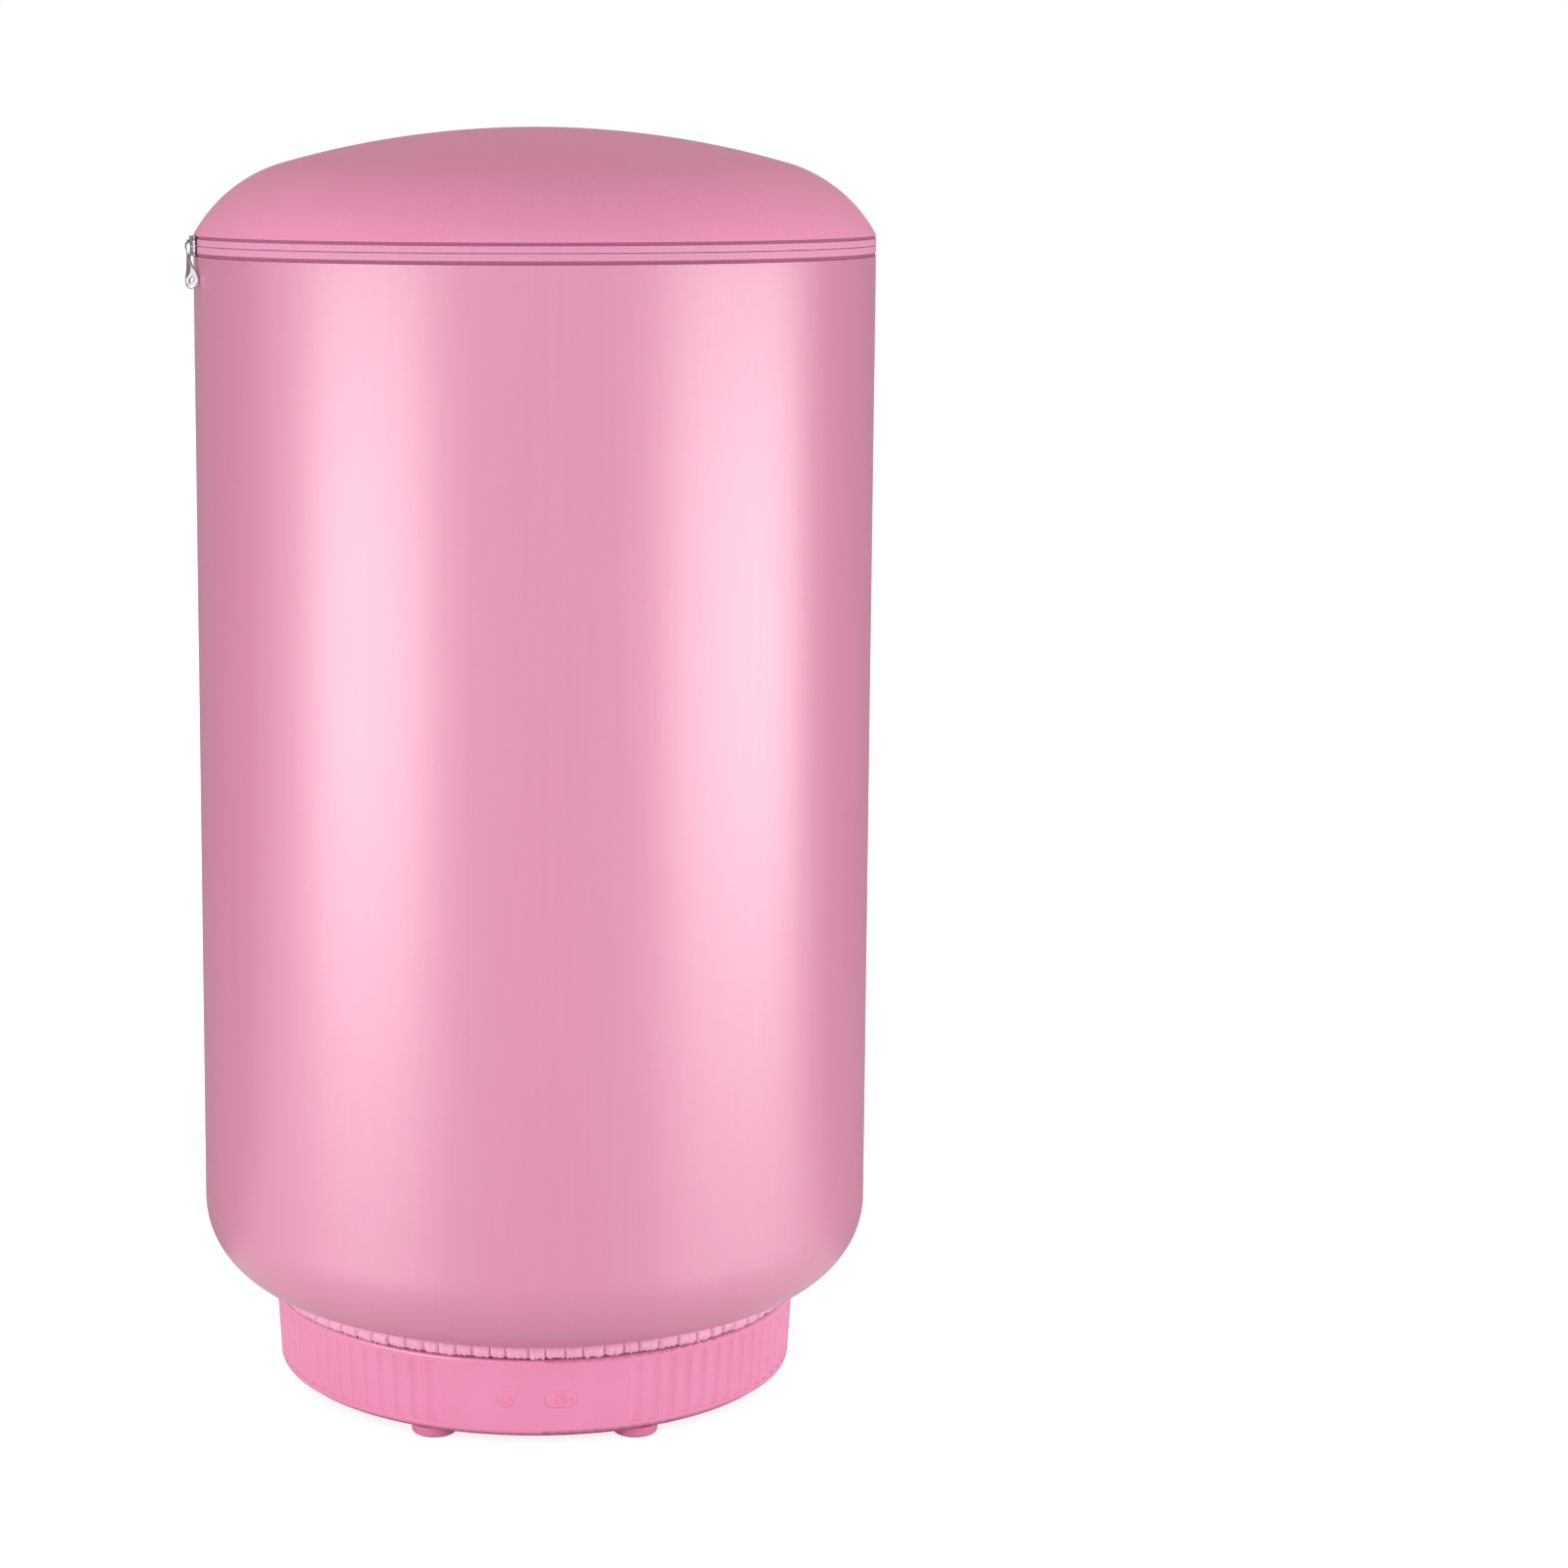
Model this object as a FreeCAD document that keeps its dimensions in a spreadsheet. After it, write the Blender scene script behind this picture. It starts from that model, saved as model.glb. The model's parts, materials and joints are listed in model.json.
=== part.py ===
"""Fabric-barrel warm-air clothes dryer: fluted fan-heater base, telescopic pole with six folding
hanger arms, and a soft barrel whose domed top zips open round three quarters of its rim.

Frame: millimetres, origin on the floor under the barrel's axis, +Z up, front at -Y."""

import FreeCAD, Part
import math
import os

import Sketcher

# ---------------------------------------------------------------- driving dimensions

SIZES = [
    # soft barrel
    ("barrel_radius", 160.0, "outside radius of the barrel"),
    ("cloth", 1.0, "thickness of the lined nylon"),
    ("knee_height", 88.0, "height where the upright wall turns in to the bowl"),
    ("bowl_radius", 38.0, "radius of the rounded bottom"),
    ("zip_height", 545.0, "height of the zip and of the lid's hinge line"),
    ("zip_row", 4.0, "width of one zip tape"),
    ("zip_gap", 1.2, "gap between the two tapes, for the slider's post"),
    ("dome_rise", 50.0, "height of the dome above the upper tape"),
    ("crown_radius", 430.0, "radius of the dome's flat crown"),
    ("shoulder_run", 42.0, "width of the dome's shoulder, from its rim to the crown"),
    ("hoop_wire", 1.75, "radius of the spring-steel hoops"),
    ("lid_wire", 1.25, "radius of the lid's hoop"),
    ("hinge_arc", 12.0, "half angle of the sewn strip behind the lid"),
    ("zip_end_arc", 28.0, "half angle at the back where the zip ends"),
    ("frill_drop", 7.0, "height of the gathered frill below the bowl"),
    ("frill_cloth", 2.2, "thickness of the gathered frill"),
    # clearances
    ("clearance", 0.3, "gap between soft or loose neighbours"),
    ("fit", 0.05, "radial gap of a running fit"),
    # base
    ("base_inset", 34.0, "how far the base wall's rim stays inside the barrel"),
    ("base_draft", 2.0, "how much the wall narrows towards the floor"),
    ("shell_wall", 2.5, "wall of the moulded shells"),
    ("foot_height", 5.0, "ground clearance under the base"),
    ("skirt_gap", 2.0, "shadow gap between base wall and bottom pan"),
    ("edge_round", 2.0, "rounded lower edge of the base wall"),
    ("rim_height", 43.0, "height of the base wall's shoulder"),
    ("groove_depth", 5.0, "depth of the groove for the elastic"),
    ("lip_inset", 1.0, "how far the lip above the groove stays inside the wall"),
    ("deck_height", 62.0, "top of the base"),
    ("opening_radius", 66.0, "radius of the deck's warm-air opening"),
    ("grille_spoke", 2.2, "width of a spoke of the outlet grille"),
    ("flute_count", 80, "flutes round the base wall"),
    ("flute_arc", 316.0, "angle covered by the flutes"),
    ("flute_radius", 6.2, "radius of a flute's hollow"),
    ("flute_depth", 0.9, "depth of a flute"),
    ("flute_band", 3.5, "smooth band above and below the flutes"),
    # feet and screws
    ("foot_radius", 10.5, "radius of a rubber foot"),
    ("foot_inset", 16.0, "distance of the circle of feet from the base wall"),
    ("foot_angle", 25.0, "feet either side of the front and back"),
    ("foot_peg", 3.0, "radius of the peg that holds a foot"),
    ("post_circle", 90.0, "radius of the circle of screw posts"),
    ("post_radius", 6.0, "radius of a screw post"),
    ("post_top", 30.0, "height where post and boss meet"),
    ("screw_radius", 1.7, "radius of a case screw's shank"),
    ("screw_head", 3.3, "radius of a case screw's head"),
    ("screw_length", 20.0, "length of a case screw's shank"),
    # fan and heater
    ("duct_radius", 61.0, "inside radius of the fan frame"),
    ("duct_wall", 2.0, "wall of the fan frame"),
    ("duct_top", 36.0, "top of the fan frame"),
    ("strut_height", 11.0, "underside of the fan frame's struts"),
    ("strut_depth", 2.0, "depth of a strut"),
    ("motor_radius", 22.3, "radius of the fan motor"),
    ("motor_height", 11.0, "height of the fan motor"),
    ("shaft_radius", 1.5, "radius of the motor shaft"),
    ("hub_radius", 26.0, "radius of the impeller hub"),
    ("hub_height", 13.0, "height of the impeller hub"),
    ("blade_count", 7, "impeller blades"),
    ("blade_sheet", 1.6, "thickness of a blade"),
    ("tip_gap", 1.5, "gap between blade tips and fan frame"),
    ("heater_height", 10.0, "height of the heater fins"),
    ("fin_count", 36, "heater fins"),
    ("fin_sheet", 0.8, "thickness of a fin"),
    ("heater_bore", 17.0, "inside radius of the heater"),
    ("ledge", 3.5, "ledge that carries the heater"),
    # controls
    ("button_height", 24.0, "height of the two buttons"),
    ("power_side", -13.0, "sideways place of the power button"),
    ("timer_side", 12.0, "sideways place of the timer button"),
    ("button_radius", 4.0, "radius of the power button"),
    ("timer_half", 3.5, "half length of the timer button's straight part"),
    ("button_travel", 1.5, "how far a button goes in"),
    ("board_inset", 18.0, "distance of the circuit board from the base wall"),
    ("board_width", 60.0, "width of the circuit board"),
    ("board_height", 26.0, "height of the circuit board"),
    ("board_sheet", 1.6, "thickness of the circuit board"),
    ("inlet_height", 24.0, "height of the mains inlet"),
    ("inlet_width", 20.0, "width of the mains inlet's body"),
    ("inlet_tall", 12.0, "height of the mains inlet's body"),
    ("pin_spacing", 8.5, "distance between the inlet's pins"),
    ("pin_radius", 1.2, "radius of an inlet pin"),
    # pole
    ("pole_radius", 8.0, "radius of the lowest pole stage"),
    ("stage_step", 1.5, "radius lost from one stage to the next"),
    ("tube_wall", 1.2, "wall of a pole stage"),
    ("socket_floor", 52.5, "height of the pole socket's floor"),
    ("socket_top", 80.0, "top of the pole socket"),
    ("stage_overlap", 24.0, "overlap of two stages when drawn out"),
    # hanger arms
    ("arm_count", 6, "hanger arms"),
    ("arm_drop", 14.0, "how far the arm pivots are below the zip"),
    ("arm_pivot", 18.0, "distance of an arm's pivot from the axis"),
    ("arm_width", 5.0, "width of an arm"),
    ("arm_depth", 8.0, "depth of an arm at its pivot"),
    ("arm_inset", 10.0, "how far an arm's saddle stays inside the barrel"),
    ("arm_pin", 1.5, "radius of an arm's pin"),
    ("notch_radius", 3.0, "radius of a coat-hanger notch"),
    ("notch_count", 4, "coat-hanger notches in an arm"),
    ("spider_radius", 25.0, "radius of the hub that holds the arms"),
    # zip slider
    ("slider_length", 12.0, "length of the zip slider"),
    ("slider_plate", 1.2, "thickness of the slider's plates"),
    ("slider_side", 192.0, "angle at which the slider is parked"),
    ("pull_length", 22.0, "length of the pull tab"),
    ("pull_width", 7.0, "width of the pull tab"),
    ("pull_lean", 33.0, "angle at which the pull tab hangs"),
]


class Size:
    """A number together with the sheet formula that it comes from."""

    def __init__(self, value, formula=None):
        self.value = float(value)
        self.formula = formula if formula is not None else repr(float(value))

    def _with(self, other, sign, value, swap=False):
        first, second = (other, self) if swap else (self, other)
        return Size(value(first.value, second.value), f"({first.formula} {sign} {second.formula})")

    def __add__(self, other):
        return self._with(size(other), "+", lambda a, b: a + b)

    def __radd__(self, other):
        return self._with(size(other), "+", lambda a, b: a + b, swap=True)

    def __sub__(self, other):
        return self._with(size(other), "-", lambda a, b: a - b)

    def __rsub__(self, other):
        return self._with(size(other), "-", lambda a, b: a - b, swap=True)

    def __mul__(self, other):
        return self._with(size(other), "*", lambda a, b: a * b)

    def __rmul__(self, other):
        return self._with(size(other), "*", lambda a, b: a * b, swap=True)

    def __truediv__(self, other):
        return self._with(size(other), "/", lambda a, b: a / b)

    def __rtruediv__(self, other):
        return self._with(size(other), "/", lambda a, b: a / b, swap=True)

    def __neg__(self):
        return Size(-self.value, f"(0 - {self.formula})")


def size(value):
    return value if isinstance(value, Size) else Size(value)


def root(value):
    return Size(math.sqrt(value.value), f"sqrt({value.formula})")


def cosine(angle):
    angle = size(angle)
    return Size(math.cos(math.radians(angle.value)), f"cos({angle.formula})")


def sine(angle):
    angle = size(angle)
    return Size(math.sin(math.radians(angle.value)), f"sin({angle.formula})")


doc = FreeCAD.newDocument("WarmAirDryer")
sheet = doc.addObject("Spreadsheet::Sheet", "Sizes")


class Named:
    """Every driving dimension as an attribute, bound to its cell."""


S = Named()
for row, (name, number, meaning) in enumerate(SIZES, start=1):
    sheet.set(f"A{row}", str(number))
    sheet.setAlias(f"A{row}", name)
    sheet.set(f"B{row}", meaning)
    setattr(S, name, Size(number, f"Sizes.{name}"))
doc.recompute()

# ---------------------------------------------------------------- drawing helpers


def bind(thing, name, value):
    """Sets a property to a size and keeps it tied to the sheet."""
    value = size(value)
    if "." not in name:
        setattr(thing, name, value.value)
    thing.setExpression(name, value.formula)


def place(thing, x=0, y=0, z=0, turn=0):
    """Puts a sub-part at x, y, z and turned about +Z."""
    x, y, z, turn = size(x), size(y), size(z), size(turn)
    spin = FreeCAD.Rotation(FreeCAD.Vector(0, 0, 1), turn.value)
    thing.Placement = FreeCAD.Placement(FreeCAD.Vector(x.value, y.value, z.value), spin)
    thing.setExpression("Placement.Base.x", x.formula)
    thing.setExpression("Placement.Base.y", y.formula)
    thing.setExpression("Placement.Base.z", z.formula)
    thing.setExpression("Placement.Rotation.Angle", turn.formula)


def new_body(label):
    body = doc.addObject("PartDesign::Body", label)
    body.Label = label
    return body


def origin_of(body, role):
    return next(f for f in body.Origin.OriginFeatures if f.Role == role)


def new_sketch(body, role, offset=0):
    """An empty sketch on one of the body's own origin planes, lifted by offset."""
    sketch = body.newObject("Sketcher::SketchObject", "Sketch")
    sketch.AttachmentSupport = [(origin_of(body, role), "")]
    sketch.MapMode = "FlatFace"
    offset = size(offset)
    sketch.AttachmentOffset.Base.z = offset.value
    sketch.setExpression("AttachmentOffset.Base.z", offset.formula)
    return sketch


def pin_point(sketch, geometry, end, across, up):
    """Ties one point of a sketch to its coordinates."""
    for kind, axis, value in (("DistanceX", -2, across), ("DistanceY", -1, up)):
        value = size(value)
        if value.value == 0:
            sketch.addConstraint(Sketcher.Constraint("PointOnObject", geometry, end, axis))
        else:
            made = sketch.addConstraint(
                Sketcher.Constraint(kind, -1, 1, geometry, end, value.value)
            )
            sketch.setExpression(f"Constraints[{made}]", value.formula)


class Arc:
    """A round stretch between two outline points. Side +1 bulges to the right of the way there."""

    def __init__(self, radius, side):
        self.radius = size(radius)
        self.side = side


def arc_geometry(start, end, arc):
    """The minor arc from start to end, and whether it runs that way round."""
    chord = end - start
    half = chord.Length / 2
    normal = FreeCAD.Vector(-chord.y, chord.x, 0).normalize()
    reach = math.sqrt(max(arc.radius.value ** 2 - half ** 2, 0.0))
    centre = (start + end) * 0.5 + normal * reach * arc.side
    circle = Part.Circle(centre, FreeCAD.Vector(0, 0, 1), arc.radius.value)
    first, last = (start, end) if arc.side > 0 else (end, start)
    angles = [math.atan2(p.y - centre.y, p.x - centre.x) for p in (first, last)]
    if angles[1] < angles[0]:
        angles[1] += 2 * math.pi
    return Part.ArcOfCircle(circle, *angles), arc.side > 0


def outline(sketch, *steps):
    """A closed, fully constrained outline: points in order, with an Arc between two of them."""
    points = [s for s in steps if not isinstance(s, Arc)]
    arcs = {}
    seen = 0
    for step in steps:
        if isinstance(step, Arc):
            arcs[seen - 1] = step
        else:
            seen += 1
    where = [FreeCAD.Vector(size(a).value, size(u).value, 0) for a, u in points]
    ends = []
    for i, start in enumerate(where):
        end = where[(i + 1) % len(where)]
        if i in arcs:
            shape, forward = arc_geometry(start, end, arcs[i])
            made = sketch.addGeometry(shape, False)
            ends.append((made, 1, 2) if forward else (made, 2, 1))
        else:
            made = sketch.addGeometry(Part.LineSegment(start, end), False)
            ends.append((made, 1, 2))
    for i, (made, begin, _) in enumerate(ends):
        before, _, finish = ends[i - 1]
        sketch.addConstraint(Sketcher.Constraint("Coincident", before, finish, made, begin))
    for (made, begin, _), (across, up) in zip(ends, points):
        pin_point(sketch, made, begin, across, up)
    for i, arc in arcs.items():
        fixed = sketch.addConstraint(Sketcher.Constraint("Radius", ends[i][0], arc.radius.value))
        sketch.setExpression(f"Constraints[{fixed}]", arc.radius.formula)
    return sketch


def ring(sketch, across, up, radius):
    """A full circle in a sketch."""
    centre = FreeCAD.Vector(size(across).value, size(up).value, 0)
    radius = size(radius)
    made = sketch.addGeometry(Part.Circle(centre, FreeCAD.Vector(0, 0, 1), radius.value), False)
    pin_point(sketch, made, 3, across, up)
    fixed = sketch.addConstraint(Sketcher.Constraint("Radius", made, radius.value))
    sketch.setExpression(f"Constraints[{fixed}]", radius.formula)
    return sketch


def rectangle(sketch, left, right, low, high):
    return outline(sketch, (left, low), (right, low), (right, high), (left, high))


def pill(sketch, across, up, half, radius):
    """A slot shape lying along the sketch's first axis."""
    left, right = across - half, across + half
    return outline(
        sketch,
        (left, up - radius),
        (right, up - radius), Arc(radius * 1.0, 1),
        (right + radius, up), Arc(radius * 1.0, 1),
        (right, up + radius),
        (left, up + radius), Arc(radius * 1.0, 1),
        (left - radius, up), Arc(radius * 1.0, 1),
    )


def feature(body, kind, sketch):
    made = body.newObject(f"PartDesign::{kind}", kind)
    made.Profile = sketch
    sketch.Visibility = False
    return made


def revolve(body, sketch, angle=360, kind="Revolution"):
    """Turns a profile about the body's own Z axis."""
    made = feature(body, kind, sketch)
    made.ReferenceAxis = (sketch, ["V_Axis"])
    bind(made, "Angle", angle)
    return made


def pad(body, sketch, length, reverse=False, both=False, kind="Pad"):
    made = feature(body, kind, sketch)
    made.Reversed = reverse
    if both:
        made.SideType = "Symmetric"
    bind(made, "Length", length)
    return made


def around(body, original, count, angle=360):
    """Repeats a feature about the body's Z axis and makes that the body's result."""
    made = body.newObject("PartDesign::PolarPattern", "PolarPattern")
    made.Originals = [original]
    made.Axis = (origin_of(body, "Z_Axis"), [""])
    bind(made, "Angle", angle)
    made.setExpression("Occurrences", size(count).formula)
    made.Occurrences = int(size(count).value)
    body.Tip = made
    return made


def cylinder(label, radius, height, sweep=360):
    made = doc.addObject("Part::Cylinder", label)
    bind(made, "Radius", radius)
    bind(made, "Height", height)
    bind(made, "Angle", sweep)
    return made


def band(label, inner, outer, low, height, start=0, sweep=360):
    """A tube, or part of one, about the barrel's axis."""
    shell = cylinder(f"{label}_outside", outer, height, sweep)
    core = cylinder(f"{label}_inside", inner, height)
    made = doc.addObject("Part::Cut", label)
    made.Base, made.Tool = shell, core
    made.Label = label
    place(made, z=low, turn=start)
    return made


def wire_hoop(label, radius, wire, height):
    made = doc.addObject("Part::Torus", label)
    made.Label = label
    bind(made, "Radius1", radius)
    bind(made, "Radius2", wire)
    place(made, z=height)
    return made


def group(label, members):
    """Identical loose pieces that share one node."""
    made = doc.addObject("Part::Compound", label)
    made.Label = label
    made.Links = members
    return made


# ---------------------------------------------------------------- shared places

floor_top = S.foot_height + S.shell_wall
edge_low = S.foot_height + S.skirt_gap
base_radius = S.barrel_radius - S.base_inset
groove_radius = base_radius - S.groove_depth
lip_radius = base_radius - S.lip_inset
foot_circle = base_radius - S.foot_inset
board_depth = base_radius - S.board_inset
crown_half = S.barrel_radius - S.shoulder_run
arm_height = S.zip_height - S.arm_drop
arm_tip = S.barrel_radius - S.arm_inset
foot_of_wall = base_radius - S.base_draft
under_deck = S.deck_height - S.shell_wall
bowl_floor = S.knee_height - S.bowl_radius
cup_radius = S.motor_radius + S.clearance + 1.5
motor_floor = S.strut_height + S.strut_depth
cup_rim = motor_floor + 5
impeller_low = cup_rim + 1
impeller_top = impeller_low + S.hub_height
heater_seat = S.duct_top + S.ledge
button_face = base_radius + 0.5
inlet_face = base_radius + 1
pole_top = arm_height + 2
stage_length = (pole_top - S.socket_floor + 2 * S.stage_overlap) / 3
stage_rise = stage_length - S.stage_overlap
hoop_radius = S.barrel_radius - S.cloth - S.clearance - S.hoop_wire
lower_tape = S.zip_height - S.zip_gap / 2 - S.zip_row
upper_tape = S.zip_height + S.zip_gap / 2
wall_top = lower_tape - S.clearance
hoop_height = wall_top - S.hoop_wire - 1
dome_low = upper_tape + S.zip_row

# ---------------------------------------------------------------- fan-heater base


def wall_radius(height):
    """Outside radius of the drafted base wall at a height."""
    return foot_of_wall + S.base_draft * (height - edge_low) / (S.rim_height - edge_low)


def housing():
    """One moulding: fluted wall, groove and lip for the barrel's elastic, deck, screw bosses."""
    body = new_body("housing")
    lip_low = bowl_floor + S.cloth + S.clearance
    inside = groove_radius - S.shell_wall
    shell = outline(
        new_sketch(body, "XZ_Plane"),
        (foot_of_wall - S.edge_round, edge_low), Arc(S.edge_round, 1),
        (foot_of_wall, edge_low + S.edge_round),
        (base_radius, S.rim_height - 1.5), Arc(1.5, 1),
        (base_radius - 1.5, S.rim_height),
        (groove_radius, S.rim_height),
        (groove_radius, lip_low),
        (lip_radius, lip_low),
        (lip_radius, S.deck_height - 4), Arc(4, 1),
        (lip_radius - 4, S.deck_height),
        (S.opening_radius, S.deck_height),
        (S.opening_radius, under_deck),
        (inside, under_deck),
        (inside, S.rim_height - S.shell_wall),
        (base_radius - S.shell_wall, S.rim_height - S.shell_wall),
        (foot_of_wall - S.shell_wall, edge_low),
    )
    revolve(body, shell)
    around(body, first_flute(body), S.flute_count, S.flute_arc)
    button_holes(body)
    inlet_boss(body)
    boss = new_sketch(body, "XY_Plane", S.post_top)
    reach = S.post_circle * cosine(45)
    ring(boss, reach, reach, S.post_radius)
    ring(boss, reach, reach, S.screw_radius + S.fit)
    around(body, pad(body, boss, under_deck - S.post_top), 4)
    return body


def button_holes(body):
    """Two holes in the smooth front between the first and the last flute."""
    holes = new_sketch(body, "XZ_Plane")
    ring(holes, S.power_side, S.button_height, S.button_radius + S.fit)
    pill(holes, S.timer_side, S.button_height, S.timer_half, S.button_radius + S.fit)
    pad(body, holes, base_radius + 5, reverse=True, kind="Pocket")


def inlet_boss(body):
    """The flat boss at the back that the mains inlet is fixed in."""
    wide = S.inlet_width / 2 + 4
    tall = S.inlet_tall / 2 + 4
    block = new_sketch(body, "XZ_Plane", -inlet_face)
    rectangle(block, -wide, wide, S.inlet_height - tall, S.inlet_height + tall)
    pad(body, block, inlet_face - foot_of_wall + S.shell_wall - 0.7)
    hole = new_sketch(body, "XZ_Plane", -inlet_face)
    half = S.inlet_width / 2 + S.fit
    rise = S.inlet_tall / 2 + S.fit
    rectangle(hole, -half, half, S.inlet_height - rise, S.inlet_height + rise)
    pad(body, hole, 12, reverse=True, kind="Pocket")


def first_flute(body):
    """A shallow hollow lofted up the drafted wall, beside the smooth front."""
    start = (360 - S.flute_arc) / 2 - 90
    ends = []
    for height in (edge_low + S.flute_band, S.rim_height - S.flute_band):
        middle = wall_radius(height) + S.flute_radius - S.flute_depth
        section = new_sketch(body, "XY_Plane", height)
        section.setExpression("AttachmentOffset.Rotation.Angle", start.formula)
        ends.append(ring(section, middle, 0, S.flute_radius))
    hollow = feature(body, "SubtractiveLoft", ends[0])
    hollow.Sections = [ends[1]]
    ends[1].Visibility = False
    return hollow


def foot_places():
    """Six feet: a pair at the front, a pair at the back and one at each side."""
    across = foot_circle * sine(S.foot_angle)
    along = foot_circle * cosine(S.foot_angle)
    return [
        (-across, -along), (across, -along), (foot_circle, size(0)),
        (across, along), (-across, along), (-foot_circle, size(0)),
    ]


def lower_shell():
    """The bottom pan: air slots under the fan, screw posts and holes for the feet."""
    body = new_body("lower_shell")
    outside = foot_of_wall - S.shell_wall - S.clearance
    rim = edge_low + 8
    revolve(body, outline(
        new_sketch(body, "XZ_Plane"),
        (0, S.foot_height),
        (outside - 2, S.foot_height), Arc(2, 1),
        (outside, S.foot_height + 2),
        (outside, rim),
        (outside - S.shell_wall, rim),
        (outside - S.shell_wall, floor_top),
        (0, floor_top),
    ))
    reach = S.post_circle * cosine(45)
    post = ring(new_sketch(body, "XY_Plane", floor_top), reach, reach, S.post_radius)
    made = [pad(body, post, S.post_top - floor_top)]
    hole = ring(new_sketch(body, "XY_Plane"), reach, reach, S.screw_radius + S.clearance)
    made.append(pad(body, hole, S.post_top + 1, reverse=True, kind="Pocket"))
    well = ring(new_sketch(body, "XY_Plane"), reach, reach, S.screw_head + S.clearance)
    made.append(pad(body, well, S.post_top - 5, reverse=True, kind="Pocket"))
    several = around(body, made[0], 4)
    several.Originals = made
    slot = rectangle(new_sketch(body, "XY_Plane"), S.hub_radius, S.duct_radius - 5, -1.6, 1.6)
    around(body, pad(body, slot, floor_top + 1, reverse=True, kind="Pocket"), 20)
    pegs = new_sketch(body, "XY_Plane")
    for across, along in foot_places():
        ring(pegs, across, along, S.foot_peg + S.fit)
    body.Tip = pad(body, pegs, floor_top + 1, reverse=True, kind="Pocket")
    return body


def foot(number, across, along):
    """A rubber foot, pushed into the pan by its peg."""
    body = new_body(f"foot_{number}")
    revolve(body, outline(
        new_sketch(body, "XZ_Plane"),
        (0, 0),
        (S.foot_radius - 2, 0), Arc(2, 1),
        (S.foot_radius, 2),
        (S.foot_radius, S.foot_height),
        (S.foot_peg, S.foot_height),
        (S.foot_peg, floor_top + 2),
        (0, floor_top + 2),
    ))
    place(body, across, along)
    return body


def case_screws():
    """Four screws, up through the pan's posts into the housing's bosses."""
    reach = S.post_circle * cosine(45)
    low = S.post_top - 5
    screws = []
    for number, (right, back) in enumerate(((1, 1), (-1, 1), (-1, -1), (1, -1)), start=1):
        head = cylinder(f"screw_head_{number}", S.screw_head, 2.4)
        shank = cylinder(f"screw_shank_{number}", S.screw_radius, S.screw_length)
        place(head, reach * right, reach * back, low - 2.4)
        place(shank, reach * right, reach * back, low)
        screw = doc.addObject("Part::Fuse", f"screw_{number}")
        screw.Base, screw.Tool = head, shank
        screws.append(screw)
    return group("case_screws", screws)


def fan_frame():
    """The ring that the impeller turns in, with four struts to the motor's cup."""
    body = new_body("fan_frame")
    outside = S.duct_radius + S.duct_wall
    revolve(body, rectangle(
        new_sketch(body, "XZ_Plane"), S.duct_radius, outside, floor_top, S.duct_top,
    ))
    strut = new_sketch(body, "XY_Plane", S.strut_height)
    rectangle(strut, cup_radius - 3, S.duct_radius + 0.5, -4, 4)
    around(body, pad(body, strut, S.strut_depth), 4)
    body.Tip = revolve(body, outline(
        new_sketch(body, "XZ_Plane"),
        (0, S.strut_height),
        (cup_radius, S.strut_height),
        (cup_radius, cup_rim),
        (cup_radius - 1.5, cup_rim),
        (cup_radius - 1.5, motor_floor),
        (0, motor_floor),
    ))
    return body


def fan_motor():
    body = new_body("fan_motor")
    top = motor_floor + S.motor_height
    bore = S.shaft_radius + S.fit
    revolve(body, outline(
        new_sketch(body, "XZ_Plane"),
        (0, motor_floor),
        (S.motor_radius, motor_floor),
        (S.motor_radius, top - 1.5), Arc(1.5, 1),
        (S.motor_radius - 1.5, top),
        (bore, top),
        (bore, motor_floor + 1.5),
        (0, motor_floor + 1.5),
    ))
    return body


def motor_shaft():
    low = motor_floor + 1.5 + S.clearance
    made = cylinder("motor_shaft", S.shaft_radius, impeller_top + 1 - low)
    place(made, z=low)
    return made


def impeller():
    """Seven twisted blades, lofted from hub to tip, on a cup that covers the motor."""
    body = new_body("impeller")
    inside = S.hub_radius - 2.5
    roof = impeller_top - 3
    bore = S.shaft_radius + S.fit
    revolve(body, outline(
        new_sketch(body, "XZ_Plane"),
        (bore, roof - 3),
        (S.shaft_radius + 3, roof - 3),
        (S.shaft_radius + 3, roof),
        (inside, roof),
        (inside, impeller_low),
        (S.hub_radius, impeller_low),
        (S.hub_radius, impeller_top - 2), Arc(2, 1),
        (S.hub_radius - 2, impeller_top),
        (bore, impeller_top),
    ))
    middle = impeller_low + S.hub_height / 2
    rise = S.hub_height / 2 - 1
    sections = []
    half = S.blade_sheet / 2
    sweep = 13 + half
    tip = root((S.duct_radius - S.tip_gap) * (S.duct_radius - S.tip_gap) - sweep * sweep)
    for reach, sweep in ((S.hub_radius - 2, 7.0), (tip, 13.0)):
        section = new_sketch(body, "YZ_Plane", reach)
        outline(
            section,
            (-sweep - half, middle - rise),
            (-sweep + half, middle - rise),
            (sweep + half, middle + rise),
            (sweep - half, middle + rise),
        )
        sections.append(section)
    blade = feature(body, "AdditiveLoft", sections[0])
    blade.Sections = [sections[1]]
    sections[1].Visibility = False
    around(body, blade, S.blade_count)
    return body


def intake_filter():
    inside = cup_radius
    return band("intake_filter", inside, S.duct_radius - S.clearance, floor_top + S.clearance, 1.5)


def heater_frame():
    """Heat-proof collar with the ledge that the heater rests on."""
    body = new_body("heater_frame")
    outside = S.duct_radius + S.duct_wall
    revolve(body, outline(
        new_sketch(body, "XZ_Plane"),
        (S.duct_radius - S.ledge, S.duct_top),
        (outside, S.duct_top),
        (outside, under_deck - S.clearance),
        (S.duct_radius, under_deck - S.clearance),
        (S.duct_radius, heater_seat),
        (S.duct_radius - S.ledge, heater_seat),
    ))
    return body


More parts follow.
